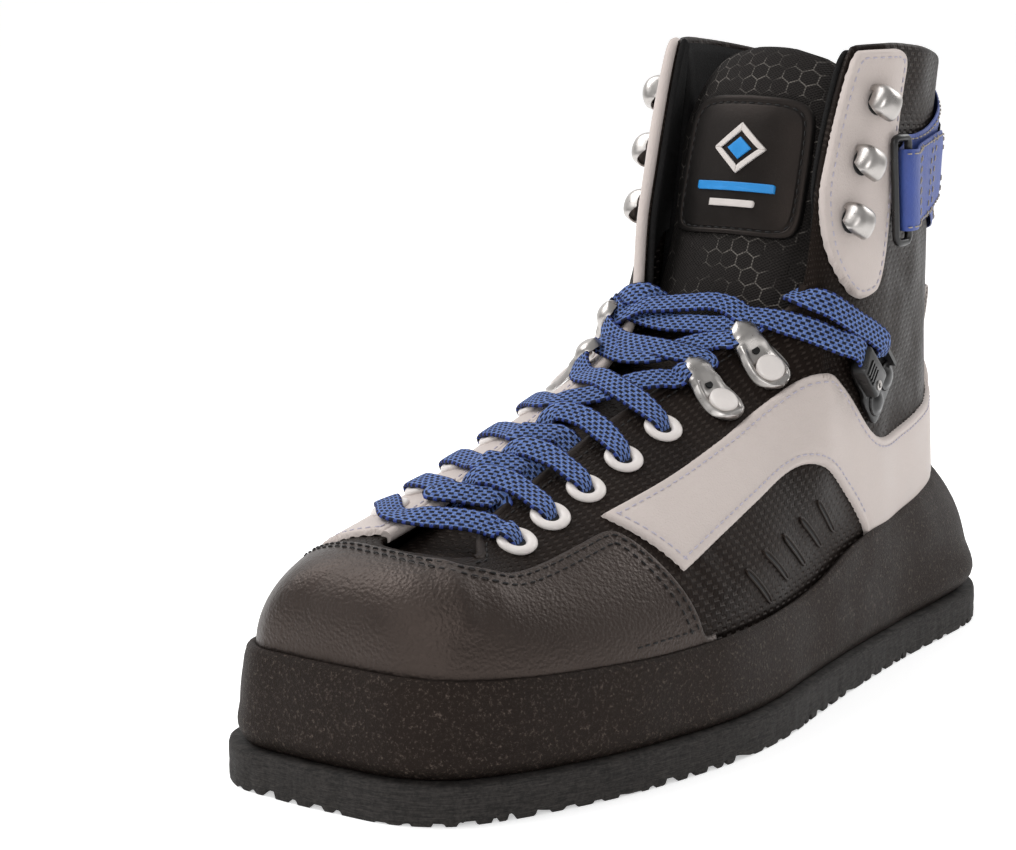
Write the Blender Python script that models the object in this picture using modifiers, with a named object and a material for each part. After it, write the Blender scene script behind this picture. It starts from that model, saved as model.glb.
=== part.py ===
"""Target-shooting boot, left foot: a flat stiff rubber sole under a tall moulded side wall,
a hollow laced upper with a padded shaft, and the fittings that close it.

Tables are in millimetres in the frame of the last: x runs from the back of the heel to the toe,
y to the outer (lateral) side, z up from the floor. The root empty moves that frame so that the
object's own frame has its origin under the middle of the boot.
"""

import math

import bmesh
import bpy
import numpy as np
from mathutils import Matrix, Vector

MM = 0.001

# Driving sizes, in millimetres
SOLE_THICKNESS = 10.5
SOLE_EDGE = 0.8              # rounding of the outsole's edges
GAP = 0.3                    # clearance between pieces that meet
WALL = 2.4                   # leather and lining of the upper
FLOOR_Z = 16.8               # inside floor of the moulded side wall
INSOLE_THICKNESS = 3.0
FLAP_FOOT = 0.22             # start of the overlays on the shaft, as a share of the section
TONGUE_EDGE = 0.35           # thinning of the tongue's edges
COLUMN_STEP = 11.0           # spacing of the sections round the boot
BASE_LEAN = 0.04             # inward lean of the upper as it leaves the side wall
SMOOTH_ANGLE = 40.0          # edges sharper than this many degrees stay crisp

# Sections round the boot, from the back of the heel along the outer side to the toe and back
# along the inner side. Each section starts inside the sole's edge and rises to the top line:
# collar, front of the shaft, edge of the throat, and the seam across the toe.
SECTION_COLUMNS = ("sole_x", "sole_y", "inset", "top_x", "top_y", "top_z", "slope", "low_pull", "top_pull")
SECTIONS = (
    (0.0, 0.0, 7.5, 24.0, 0.0, 178.5, 78.0, 45.0, 45.0),
    (3.5, 14.0, 11.5, 27.0, 14.0, 179.0, 84.0, 45.0, 45.0),
    (11.0, 29.0, 17.0, 36.0, 25.0, 181.0, 94.0, 45.0, 45.0),
    (26.0, 39.3, 17.0, 52.0, 33.5, 185.0, 98.0, 45.0, 45.0),
    (50.0, 43.0, 12.5, 72.0, 38.0, 188.0, 97.0, 48.0, 45.0),
    (74.0, 44.5, 8.8, 89.0, 38.0, 189.3, 90.0, 52.0, 50.0),
    (92.0, 46.3, 6.5, 101.5, 34.0, 189.0, 84.0, 55.0, 50.0),
    (110.0, 48.6, 6.5, 119.5, 31.5, 142.0, 82.0, 45.0, 35.0),
    (128.0, 51.2, 6.5, 122.0, 29.0, 116.5, 62.0, 38.0, 24.0),
    (150.0, 55.0, 6.8, 143.0, 15.0, 102.5, 32.0, 34.0, 22.0),
    (172.0, 59.0, 7.0, 165.0, 10.0, 93.5, 22.0, 30.0, 24.0),
    (196.0, 60.0, 7.0, 190.0, 7.0, 85.5, 20.0, 27.0, 26.0),
    (220.0, 57.0, 7.0, 215.0, 6.5, 77.2, 20.0, 22.0, 26.0),
    (243.0, 52.0, 7.0, 238.0, 6.5, 69.3, 18.0, 18.0, 22.0),
    (262.0, 45.5, 7.0, 249.0, 9.5, 65.2, 14.0, 16.0, 17.0),
    (277.0, 39.0, 8.3, 257.5, 15.5, 62.4, 11.0, 14.6, 15.0),
    (289.0, 31.0, 9.4, 263.0, 12.5, 62.5, 6.0, 13.5, 18.0),
    (296.5, 19.0, 10.0, 266.5, 6.0, 63.0, 3.0, 13.5, 19.0),
    (299.5, 0.0, 9.7, 268.0, -2.0, 63.2, 2.0, 13.5, 20.0),
    (300.5, -18.0, 9.7, 267.5, -9.0, 63.4, 3.0, 13.0, 21.0),
    (299.0, -34.5, 9.7, 263.0, -13.0, 64.0, 5.0, 13.0, 27.0),
    (290.0, -45.0, 9.2, 249.0, -13.0, 66.8, 9.0, 15.0, 27.0),
    (270.0, -49.5, 7.6, 228.0, -13.0, 72.8, 14.0, 19.0, 25.0),
    (245.0, -51.5, 7.0, 203.0, -13.5, 81.0, 18.0, 23.0, 22.0),
    (217.0, -51.5, 7.0, 177.0, -15.5, 89.5, 20.0, 28.0, 22.0),
    (189.0, -49.5, 7.0, 152.0, -18.0, 98.5, 28.0, 33.0, 22.0),
    (162.0, -46.0, 6.8, 135.0, -21.5, 110.0, 48.0, 37.0, 22.0),
    (140.0, -43.0, 6.6, 121.0, -28.0, 142.0, 82.0, 45.0, 35.0),
    (118.0, -41.0, 6.5, 101.5, -31.0, 189.0, 84.0, 55.0, 50.0),
    (98.0, -39.5, 6.5, 89.0, -37.0, 189.3, 88.0, 52.0, 50.0),
    (76.0, -39.5, 7.0, 72.0, -40.0, 188.0, 92.0, 48.0, 45.0),
    (50.0, -39.5, 9.0, 52.0, -36.5, 185.0, 90.0, 45.0, 45.0),
    (26.0, -36.5, 12.0, 36.0, -27.0, 181.0, 85.0, 45.0, 45.0),
    (8.0, -24.5, 12.0, 28.0, -16.0, 179.0, 80.0, 45.0, 45.0),
)

# Height of the moulded side wall's rim along the boot
RIM_COLUMNS = ("x", "z")
RIM = (
    (0.0, 52.0),
    (16.0, 50.5),
    (27.0, 49.0),
    (43.0, 47.0),
    (60.0, 45.5),
    (80.0, 44.3),
    (100.0, 43.8),
    (118.0, 41.5),
    (137.0, 37.2),
    (150.0, 35.6),
    (170.0, 35.0),
    (190.0, 34.3),
    (207.0, 33.8),
    (225.0, 33.7),
    (245.0, 34.4),
    (267.0, 35.2),
    (285.0, 36.4),
    (292.0, 37.3),
    (300.0, 38.2),
)

# Side wall: share of its height, and shares of the upper's inset at that height at the toe and at the heel
SIDE_PROFILE = (
    (0.0, 0.52, 0.28),
    (0.07, 0.36, 0.12),
    (0.4, 0.34, 0.21),
    (0.75, 0.44, 0.48),
    (0.93, 0.54, 0.75),
    (1.0, 0.64, 0.90),
)
HEEL_SHAPE_END = 30.0        # the wall has the heel's profile behind this place
TOE_SHAPE_START = 100.0      # and the toe's profile ahead of this one

# Tongue: spine in the middle plane, half width, drop of the edges and thickness
TONGUE_COLUMNS = ("x", "y", "z", "half_width", "drop", "thickness")
TONGUE = (
    (276.0, -3.5, 57.0, 13.0, 1.5, 2.4),
    (255.0, -3.5, 60.5, 14.0, 1.8, 2.6),
    (237.0, -3.5, 66.0, 15.0, 2.2, 2.8),
    (215.0, -3.5, 73.5, 17.0, 3.0, 3.0),
    (190.0, -3.3, 81.5, 19.0, 3.6, 3.2),
    (165.0, -2.8, 89.5, 21.0, 4.5, 3.6),
    (145.0, -2.0, 98.0, 23.0, 5.5, 4.0),
    (131.0, -1.0, 109.0, 25.0, 7.0, 4.6),
    (122.0, 0.0, 122.0, 27.0, 8.0, 5.2),
    (116.5, 0.6, 135.0, 28.0, 8.0, 6.0),
    (112.0, 1.0, 153.0, 28.0, 8.0, 7.0),
    (107.0, 1.2, 171.0, 27.0, 8.0, 7.0),
    (97.0, 1.5, 189.5, 24.0, 8.0, 5.0),
)
TONGUE_POINTS = 9            # points across the tongue

BADGE_ROWS = (8.85, 11.15)   # first and last place of the badge along the tongue's rows
BADGE_POINTS = 7             # points across the badge and along it
BADGE_HALF_WIDTH = 21.0
BADGE_THICKNESS = 1.8
BADGE_CORNER = 0.45          # how far the badge's corners are rounded, 0 to 1

# Overlays on the upper, cut to outlines seen from above or from the side
LEATHER = 1.2                # thickness of an overlay
FLAP_THICKNESS = 1.6
OVERLAY_FOOT = 0.02          # start of an overlay above the rim, as a share of the section
CORNER_RADIUS = 4.0
SEAM_GAP = 0.5               # room between two overlays along a seam
CUTTER_REACH = 400.0
# Stretch round the sole that each overlay is cut from: before and after the toe or the heel's back
TOE_CAP_STRETCH = (-170.0, 165.0)
LATERAL_PANEL_STRETCH = (-25.0, -40.0)
MEDIAL_PANEL_STRETCH = (25.0, 25.0)
LATERAL_FLAP_STRETCH = (70.0, 160.0)
MEDIAL_FLAP_STRETCH = (-170.0, -62.0)
HEEL_PAD_STRETCH = (-45.0, 45.0)
TOE_SEAM = (
    (203.0, 70.0), (203.0, 54.0), (208.5, 50.5), (213.5, 44.0), (218.0, 33.5), (221.0, 30.0),
    (234.5, 28.2), (254.0, 25.0), (261.0, 22.5), (267.0, 17.0), (270.3, 8.0), (271.0, -4.0),
    (270.0, -20.0), (265.0, -34.0),
    (240.0, -43.0), (226.0, -49.0), (218.0, -54.0), (218.0, -70.0),
)
HEEL_CURVE = (
    (-10.0, 20.0), (-10.0, 93.5), (6.0, 92.5), (14.0, 87.0), (22.0, 79.0), (34.0, 74.5), (60.0, 71.5),
    (88.0, 69.5), (100.0, 75.0), (114.0, 91.0), (123.0, 97.0),
)
VENT_CURVE = (
    (207.5, 53.0), (191.5, 58.5), (169.5, 64.5), (150.0, 69.5), (138.0, 71.5), (127.0, 68.0),
    (111.0, 53.9), (101.0, 43.0), (99.0, 20.0),
)
LATERAL_PANEL = HEEL_CURVE + ((146.0, 87.0), (177.0, 77.5), (219.0, 67.5)) + VENT_CURVE
MEDIAL_PANEL = HEEL_CURVE + ((146.0, 96.0), (166.0, 101.0), (290.0, 101.0), (290.0, 52.5)) + VENT_CURVE
HOOK_FLAP = (
    (77.0, 205.0), (79.0, 188.0), (84.0, 166.0), (87.0, 146.0), (90.0, 124.0), (97.0, 112.5),
    (106.0, 113.5), (112.0, 119.0), (119.0, 133.0), (140.0, 140.0), (140.0, 205.0),
)
HEEL_PAD = ((-10.0, 97.5), (-10.0, 123.5), (22.0, 123.5), (22.0, 97.5))

# Strap round the ankle: from its sewn end on the inner side, over the back of the heel, through the
# ring on the outer side and back. Place round the sole, edges, and height of its middle over the leather
STRAP_COLUMNS = ("place", "low_z", "high_z", "lift")
STRAP = (
    (-92.0, 139.0, 165.0, 1.5), (-72.0, 139.0, 168.0, 1.5), (-50.0, 137.0, 172.0, 1.5),
    (-31.0, 132.0, 176.0, 1.5), (-14.0, 127.0, 178.0, 1.5), (0.0, 125.0, 178.0, 1.5),
    (14.0, 127.0, 178.0, 1.5), (31.0, 132.0, 176.0, 1.5), (50.0, 137.0, 172.0, 1.5),
    (72.0, 137.0, 166.0, 1.5), (83.0, 135.5, 162.5, 2.2), (91.0, 134.5, 160.0, 3.0),
    (96.5, 134.0, 159.0, 3.4), (98.5, 134.0, 159.0, 5.2), (96.5, 134.0, 159.0, 7.1),
    (90.0, 134.0, 159.0, 7.4), (81.0, 134.5, 159.5, 5.6), (68.0, 135.5, 160.5, 3.6),
    (52.0, 137.5, 161.5, 3.4), (36.0, 140.0, 162.0, 3.4),
)
STRAP_THICKNESS = 1.3
# Corners of the ring: place round the sole, height and lift over the leather
RING = ((94.0, 130.5, 5.3), (94.0, 162.5, 5.3), (102.5, 162.5, 3.8), (102.5, 130.5, 3.8))
RING_WIRE = 1.2              # half thickness of the ring's wire

# Pull tab at the back of the heel: place, height and half width of its middle line
PULL_TAB = ((5.2, 94.0, 6.5), (4.9, 97.0, 6.5), (4.2, 101.0, 6.5), (3.4, 106.0, 6.0))
PULL_TAB_THICKNESS = 2.2

# Fittings: a point x, y, z on the leather where each one sits
THROAT_MIDDLE = -3.5
SIDES = (("lateral", 1), ("medial", -1))
EYELETS = (
    (244.5, 18.0, 64.6), (230.0, 18.0, 68.3), (214.0, 18.0, 72.6), (196.5, 18.0, 77.7), (177.5, 18.0, 83.2),
)
EYELET_STEPS = 10            # facets round an eyelet
EYELET_PROFILE = ((2.5, 0.0), (5.5, 0.0), (5.5, 0.6), (4.9, 1.1), (3.1, 1.1), (2.5, 0.6))
GHILLIE_DIRECTION = (-0.15, -1.0, 0.5)
GHILLIE_TAPER = 0.8
GHILLIES = ((156.8, 25.5, 90.9), (138.2, 29.8, 98.8))
# Ghillie from its riveted end to its arch: distance along it, half width and height
GHILLIE_SHAPE = (
    (-6.0, 2.6, 1.4), (-4.0, 5.4, 1.8), (0.0, 6.4, 1.9), (5.0, 5.6, 2.0),
    (9.0, 4.6, 2.4), (12.0, 4.4, 4.6), (15.5, 4.2, 4.8), (17.0, 3.6, 3.4),
)
SPEED_HOOKS = ((96.5, 38.5, 173.5), (104.0, 37.5, 156.0), (107.5, 36.5, 138.5))
HOOK_DIRECTION = (1.0, -0.5, 0.0)
HOOK_WIDTH = 7.0
HOOK_PROFILE = (
    (-5.5, 0.0), (6.0, 0.0), (8.8, 2.0), (9.0, 4.8), (6.8, 7.0), (3.0, 7.4), (2.2, 6.5),
    (3.0, 6.0), (6.0, 5.7), (7.4, 4.4), (7.2, 2.6), (5.6, 1.4), (-5.5, 1.4),
)
LACE_LOCK = (93.2, 46.3, 86.9)
LOCK_DIRECTION = (0.7, 0.0, 0.7)
LOCK_OUTLINE = (
    (-6.0, -10.0), (-6.0, 10.0), (5.0, 10.0), (7.0, 8.0),
    (19.0, 7.5), (19.0, -7.5), (7.0, -8.0), (5.0, -10.0),
)
LOCK_THICKNESS = 3.2
LOCK_RIVETS = (-4.8, 4.8)    # places of the two rivets across the lock
RIVET_PROFILE = ((0.0, 0.0), (4.2, 0.0), (3.9, 0.9), (2.4, 1.8), (0.0, 2.1))
RIVET_STEPS = 12             # facets round a rivet

# Lace: a flat band
THROAT_SECTIONS = {1: (8, 15), -1: (20, 27)}   # rows of SECTIONS along the throat's outer and inner edge
LACE_HALF_WIDTH = 3.8
LACE_THICKNESS = 1.3
LACE_CLEARANCE = 2.2         # lower face of a band over the leather beside the eyelets
LACE_START = (3.9, -1.1)     # start of a band inside the throat's edge, and over it
LACE_RISE = 0.1              # rise of a band over the middle of the throat
LACE_LEAD = 3.0              # a band passes the throat's edge this far before its eyelet
GHILLIE_MOUTH = (21.0, 0.0, 2.4)
LOCK_MOUTH = (110.5, 42.5, 103.5)
INSTEP_OUT = np.array([0.35, 0.0, 0.94])
INSTEP_ALONG = np.array([0.94, 0.0, -0.35])
GHILLIE_BESIDE = 4.2         # distance of a band from the middle of a ghillie's mouth
ANKLE_LIFT = 3.6             # height of the lace over the leather on its way to the locks
ANKLE_EDGE = 128.0           # where the lace passes the throat's edge on its way to the locks
ANKLE_BEND = (120.0, 36.0, 107.5)


# Curves through tables


def table(columns, rows):
    values = np.array(rows, float)
    return {name: values[:, k] for k, name in enumerate(columns)}


def three_point_slopes(knots, values):
    """Slope at each inner knot of the parabola through it and its two neighbours."""
    step = np.diff(knots)
    rise = np.diff(values) / step
    inner = (rise[:-1] * step[1:] + rise[1:] * step[:-1]) / (step[:-1] + step[1:])
    return np.concatenate([rise[:1], inner, rise[-1:]])


def steady_slopes(knots, values):
    """Slopes that keep the curve from overshooting its table."""
    step = np.diff(knots)
    rise = np.diff(values) / step
    before, after = rise[:-1], rise[1:]
    same_way = before * after > 0
    total = np.where(same_way, before + after, 1.0)
    inner = np.where(same_way, 2 * before * after / total, 0.0)
    return np.concatenate([rise[:1], inner, rise[-1:]])


def curve(knots, values, at, slopes=three_point_slopes):
    """Cubic through the table's values, read at the given places."""
    slope = slopes(knots, values)
    at = np.clip(np.asarray(at, float), knots[0], knots[-1])
    k = np.clip(np.searchsorted(knots, at, side="right") - 1, 0, len(knots) - 2)
    step = knots[k + 1] - knots[k]
    t = (at - knots[k]) / step
    near = values[k] * (1 + 2 * t) * (1 - t) ** 2 + slope[k] * step * t * (1 - t) ** 2
    far = values[k + 1] * t * t * (3 - 2 * t) + slope[k + 1] * step * t * t * (t - 1)
    return near + far


SECTION = table(SECTION_COLUMNS, SECTIONS)
SECTION_COUNT = len(SECTIONS)
SECTION_GAPS = np.hypot(
    np.diff(SECTION["sole_x"], append=SECTION["sole_x"][0]),
    np.diff(SECTION["sole_y"], append=SECTION["sole_y"][0]),
)
SECTION_PLACE = np.concatenate([[0.0], np.cumsum(SECTION_GAPS)])
PERIMETER = SECTION_PLACE[-1]


def around(column, u, slopes):
    """A column of SECTIONS read at distance u round the sole."""
    values = SECTION[column]
    before = SECTION_PLACE[-4:-1] - PERIMETER
    after = SECTION_PLACE[:4] + PERIMETER
    knots = np.concatenate([before, SECTION_PLACE[:-1], after])
    values = np.concatenate([values[-3:], values, values[:4]])
    return curve(knots, values, np.mod(u, PERIMETER), slopes)


def sole_outline(u, inset):
    """Points of the sole's outline moved in by the inset."""
    small = 0.5
    x = around("sole_x", u, three_point_slopes)
    y = around("sole_y", u, three_point_slopes)
    ahead, behind = u + small, u - small
    dx = around("sole_x", ahead, three_point_slopes) - around("sole_x", behind, three_point_slopes)
    dy = around("sole_y", ahead, three_point_slopes) - around("sole_y", behind, three_point_slopes)
    length = np.hypot(dx, dy)
    outward = np.stack([-dy / length, dx / length], axis=-1)
    return np.stack([x, y], axis=-1) - outward * np.asarray(inset)[..., None], outward


def rim_height(x):
    rim = table(RIM_COLUMNS, RIM)
    return curve(rim["x"], rim["z"], x)


def upper_inset(u):
    return around("inset", u, steady_slopes)


# The upper's own function: u runs round the boot, v from -1 at the bottom over 0 at the rim of the
# side wall to 1 at the top line


def upper_middle(u, v):
    """Points of the upper's outer face."""
    base, outward = sole_outline(u, upper_inset(u))
    rim = rim_height(base[..., 0])
    low = np.clip(v, -1.0, 0.0)
    t = np.clip(v, 0.0, 1.0)
    slope = np.radians(around("slope", u, steady_slopes))
    low_pull = around("low_pull", u, steady_slopes)
    top_pull = around("top_pull", u, steady_slopes)
    top = np.stack([around(name, u, steady_slopes) for name in ("top_x", "top_y", "top_z")], axis=-1)
    start = np.stack([base[..., 0], base[..., 1], rim], axis=-1)
    lean = np.stack([-outward[..., 0], -outward[..., 1], np.zeros_like(rim)], axis=-1)
    up = np.array([0.0, 0.0, 1.0])
    first = start + (up + BASE_LEAN * lean) * low_pull[..., None]
    arrive = lean * np.cos(slope)[..., None] + up * np.sin(slope)[..., None]
    second = top - arrive * top_pull[..., None]
    t = t[..., None]
    bend = start * (1 - t) ** 3 + first * 3 * t * (1 - t) ** 2
    bend += second * 3 * t * t * (1 - t) + top * t ** 3
    bend[..., 2] += low * (rim - FLOOR_Z - GAP)
    return bend


def upper_face(u, v, offset=0.0):
    """Points at a distance outside the upper's outer face."""
    u, v = np.meshgrid(np.asarray(u, float), np.asarray(v, float), indexing="ij")
    small_u, small_v = 0.4, 0.004
    along = upper_middle(u + small_u, v) - upper_middle(u - small_u, v)
    above, below = np.minimum(v + small_v, 1.0), np.maximum(v - small_v, -1.0)
    rise = upper_middle(u, above) - upper_middle(u, below)
    normal = np.cross(rise, along)
    normal /= np.linalg.norm(normal, axis=-1, keepdims=True)
    return upper_middle(u, v) + normal * offset


def section_places():
    """Distances round the sole of the sections and of the steps between them."""
    places = []
    for k in range(SECTION_COUNT):
        steps = max(1, round(SECTION_GAPS[k] / COLUMN_STEP))
        for step in range(steps):
            places.append(SECTION_PLACE[k] + SECTION_GAPS[k] * step / steps)
    return np.array(places)


PLACES = section_places()
TOE_SECTION = 18             # the section at the tip of the toe
UPPER_ROWS = (-1.0, 0.0, 0.1, 0.22, 0.36, 0.52, 0.7, 0.86, 1.0)


# Scene and mesh helpers


def clear_scene():
    for item in list(bpy.data.objects):
        bpy.data.objects.remove(item, do_unlink=True)


def new_collection(name):
    collection = bpy.data.collections.new(name)
    bpy.context.scene.collection.children.link(collection)
    return collection


def material(name, colour, roughness, metallic=0.0):
    made = bpy.data.materials.new(name)
    made.use_nodes = True
    shader = made.node_tree.nodes["Principled BSDF"]
    shader.inputs["Base Color"].default_value = (*colour, 1.0)
    shader.inputs["Roughness"].default_value = roughness
    shader.inputs["Metallic"].default_value = metallic
    return made


def add_mesh(name, points, faces, finish, collection=None):
    """An object of the boot from points in millimetres."""
    mesh = bpy.data.meshes.new(name)
    mesh.from_pydata([Vector(p) * MM for p in points], [], faces)
    shaped = bmesh.new()
    shaped.from_mesh(mesh)
    bmesh.ops.recalc_face_normals(shaped, faces=shaped.faces)
    shaped.to_mesh(mesh)
    shaped.free()
    mesh.shade_smooth()
    mesh.set_sharp_from_angle(angle=math.radians(SMOOTH_ANGLE))
    made = bpy.data.objects.new(name, mesh)
    if finish is not None:
        mesh.materials.append(finish)
    (collection or BOOT).objects.link(made)
    made.parent = ROOT
    return made


def strip_faces(rows, columns, wrap):
    """Triangles of a grid of points, closed round its rows if wrap is set."""
    faces = []
    for row in range(rows if wrap else rows - 1):
        following = (row + 1) % rows
        for column in range(columns - 1):
            corner = row * columns + column
            other = following * columns + column
            faces.append((corner, corner + 1, other + 1))
            faces.append((corner, other + 1, other))
    return faces


def open_sheet(name, grid, finish, wrap=True, collection=None):
    """A surface through a grid of points, facing outwards."""
    rows, columns, _ = grid.shape
    mesh = bpy.data.meshes.new(name)
    points = [Vector(p) * MM for p in grid.reshape(-1, 3)]
    mesh.from_pydata(points, [], strip_faces(rows, columns, wrap))
    mesh.shade_smooth()
    made = bpy.data.objects.new(name, mesh)
    if finish is not None:
        mesh.materials.append(finish)
    (collection or BOOT).objects.link(made)
    made.parent = ROOT
    return made


def loft(name, rings, finish, collection=None):
    """A closed solid through rings of equal length, with flat ends."""
    count = len(rings[0])
    points = np.concatenate(rings)
    faces = []
    for row in range(len(rings) - 1):
        for k in range(count):
            following = (k + 1) % count
            faces.append((row * count + k, row * count + following,
                          (row + 1) * count + following, (row + 1) * count + k))
    faces.append(tuple(range(count)))
    faces.append(tuple(range((len(rings) - 1) * count, len(rings) * count)))
    return add_mesh(name, points, faces, finish, collection)


def solidify(made, thickness, offset):
    shell = made.modifiers.new("wall", "SOLIDIFY")
    shell.thickness = thickness * MM
    shell.offset = offset
    shell.use_even_offset = True
    return shell


def ring(inset, z):
    """A level line round the sole, moved in from its edge."""
    plan, _ = sole_outline(PLACES, inset)
    height = np.broadcast_to(z, PLACES.shape)
    return np.column_stack([plan, height])


# Sole pieces


def make_outsole():
    edge = np.full(PLACES.shape, SOLE_EDGE)
    none = np.zeros(PLACES.shape)
    rings = [
        ring(edge, 0.0),
        ring(none, SOLE_EDGE),
        ring(none, SOLE_THICKNESS - SOLE_EDGE),
        ring(edge, SOLE_THICKNESS),
    ]
    loft("outsole", rings, RUBBER)


def make_side_wall():
    """The moulded wall that carries the upper: a cup with a floor."""
    inset = upper_inset(PLACES)
    bottom = SOLE_THICKNESS + GAP
    base, _ = sole_outline(PLACES, inset)
    rim = rim_height(base[:, 0])
    rings = []
    toe_share = np.clip((base[:, 0] - HEEL_SHAPE_END) / (TOE_SHAPE_START - HEEL_SHAPE_END), 0.0, 1.0)
    for share, at_toe, at_heel in SIDE_PROFILE:
        part = at_heel + (at_toe - at_heel) * toe_share
        rings.append(ring(inset * part, bottom + (rim - bottom) * share))
    rings.append(ring(inset - GAP, rim))
    rings.append(ring(inset - GAP, FLOOR_Z))
    loft("side_wall", rings, WALL_FOAM)


def make_insole():
    inset = upper_inset(PLACES) + WALL + 2 * GAP
    bottom = FLOOR_Z + GAP
    rings = [ring(inset, bottom), ring(inset, bottom + INSOLE_THICKNESS)]
    loft("insole", rings, INSOLE_FELT)


# Upper, and places on it


def make_upper():
    made = open_sheet("upper", upper_face(PLACES, UPPER_ROWS), LEATHER_BLACK)
    solidify(made, WALL, -1.0)


def nearest(point):
    """Place and share of the upper's face nearest to a point."""
    passes, finer = 5, 4
    step_u, step_v = 6.0, 0.025
    around_zero = np.linspace(-1.0, 1.0, 2 * finer + 1)
    u = np.arange(0.0, PERIMETER, step_u)
    v = np.arange(0.0, 1.0 + step_v, step_v)
    for _ in range(passes):
        grid = upper_middle(*np.meshgrid(u, v, indexing="ij"))
        far = np.linalg.norm(grid - np.asarray(point), axis=-1)
        i, j = np.unravel_index(far.argmin(), far.shape)
        u = u[i] + step_u * around_zero
        v = np.clip(v[j] + step_v * around_zero, 0.0, 1.0)
        step_u /= finer
        step_v /= finer
    return u[finer], v[finer]


def share_at(u, z):
    """Share of the section at one place where it reaches a height."""
    shares = np.linspace(0.0, 1.0, 201)
    heights = upper_middle(np.full(shares.shape, u), shares)[:, 2]
    return np.interp(z, heights, shares)


def on_upper(u, z, lift):
    """Point over the upper at one place and height."""
    return upper_face([u], [share_at(u, z)], lift)[0, 0]


def standing(point, toward, lift):
    """Placing of a piece on the upper: its x along a direction, its z away from the leather."""
    u, v = nearest(point)
    foot = Vector(upper_face([u], [v], lift)[0, 0])
    normal = (Vector(upper_face([u], [v], lift + 1.0)[0, 0]) - foot).normalized()
    along = Vector(toward)
    along = (along - normal * along.dot(normal)).normalized()
    turn = Matrix((along, normal.cross(along), normal)).transposed().to_4x4()
    return Matrix.Translation(foot * MM) @ turn


def mirrored(point):
    """The like point on the inner side of the throat or shaft."""
    return (point[0], 2 * THROAT_MIDDLE - point[1], point[2])


# Tongue


def tongue_face(row, side, lift):
    """Points over the tongue's outer face: row along its table, side from -1 to 1 across it."""
    rows = table(TONGUE_COLUMNS, TONGUE)
    knots = np.arange(len(TONGUE), dtype=float)
    row, side = np.meshgrid(np.asarray(row, float), np.asarray(side, float), indexing="ij")
    read = {name: curve(knots, values, row) for name, values in rows.items()}
    small = 0.05
    dx = curve(knots, rows["x"], row + small) - curve(knots, rows["x"], row - small)
    dz = curve(knots, rows["z"], row + small) - curve(knots, rows["z"], row - small)
    length = np.hypot(dx, dz)
    sink = read["drop"] * side ** 2 - lift
    x = read["x"] - dz / length * sink
    z = read["z"] + dx / length * sink
    return np.stack([x, read["y"] + side * read["half_width"], z], axis=-1)


def make_tongue():
    thickness = table(TONGUE_COLUMNS, TONGUE)["thickness"]
    across = np.linspace(-1.0, 1.0, TONGUE_POINTS)
    edge = 1 - TONGUE_EDGE * (abs(across) == 1)
    rings = []
    for row in range(len(TONGUE)):
        outer = tongue_face([row], across, 0.0)[0]
        inner = tongue_face([row], across, -thickness[row] * edge)[0]
        rings.append(np.concatenate([outer, inner[::-1]]))
    loft("tongue", rings, MESH_BLACK)


def make_badge():
    """A moulded plate with rounded corners on the tongue."""
    grid = np.linspace(-1.0, 1.0, BADGE_POINTS)
    first, last = BADGE_ROWS
    knots = np.arange(len(TONGUE), dtype=float)
    half_width = curve(knots, table(TONGUE_COLUMNS, TONGUE)["half_width"], last)
    points = np.empty((len(grid), len(grid), 3))
    for i, a in enumerate(grid):
        for j, b in enumerate(grid):
            up = a * math.sqrt(1 - BADGE_CORNER * b * b / 2)
            side = b * math.sqrt(1 - BADGE_CORNER * a * a / 2)
            row = (first + last) / 2 + up * (last - first) / 2
            points[i, j] = tongue_face([row], [side * BADGE_HALF_WIDTH / half_width], 2 * GAP)[0, 0]
    made = open_sheet("tongue_badge", points, BADGE_RUBBER, wrap=False)
    solidify(made, BADGE_THICKNESS, 1.0)


# Overlays on the upper


def rounded(outline, radius):
    """An outline with its corners rounded off."""
    corners = np.array(outline, float)
    points = []
    earlier, later = np.roll(corners, 1, axis=0), np.roll(corners, -1, axis=0)
    for before, corner, after in zip(earlier, corners, later):
        back = before - corner
        ahead = after - corner
        start = corner + back * min(0.5, radius / np.linalg.norm(back))
        end = corner + ahead * min(0.5, radius / np.linalg.norm(ahead))
        points += [start, (start + 2 * corner + end) / 4, end]
    return points


def prism(name, outline, depth, finish, collection=None):
    """A flat outline, extruded from its own plane."""
    shaped = bmesh.new()
    flat = shaped.faces.new([shaped.verts.new((x * MM, y * MM, 0.0)) for x, y in outline])
    grown = bmesh.ops.extrude_face_region(shaped, geom=[flat])["geom"]
    moved = [item for item in grown if isinstance(item, bmesh.types.BMVert)]
    bmesh.ops.translate(shaped, verts=moved, vec=(0.0, 0.0, depth * MM))
    bmesh.ops.recalc_face_normals(shaped, faces=shaped.faces)
    mesh = bpy.data.meshes.new(name)
    shaped.to_mesh(mesh)
    shaped.free()
    if finish is not None:
        mesh.materials.append(finish)
    made = bpy.data.objects.new(name, mesh)
    (collection or BOOT).objects.link(made)
    made.parent = ROOT
    return made


def cutter(name, outline):
    made = prism(name, outline, CUTTER_REACH, None, CUTTERS)
    made.hide_render = True
    made.display_type = "WIRE"
    return made


def side_cutter(name, outline, side):
    """Prism with an outline seen from the side, on one side of the boot or on both."""
    made = cutter(name, rounded(outline, CORNER_RADIUS))
    made.rotation_euler.x = math.pi / 2
    low = {1: GAP / 2, -1: -CUTTER_REACH - GAP / 2, 0: -CUTTER_REACH / 2}[side]
    made.location.y = (low + CUTTER_REACH) * MM
    return made


def toe_cutter(name, shift, end_x):
    """Prism on one side of the toe cap's seam, as seen from above."""
    seam = [(x + shift, y) for x, y in TOE_SEAM]
    corners = [(end_x, seam[-1][1]), (end_x, seam[0][1])]
    return cutter(name, seam + corners)


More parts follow.
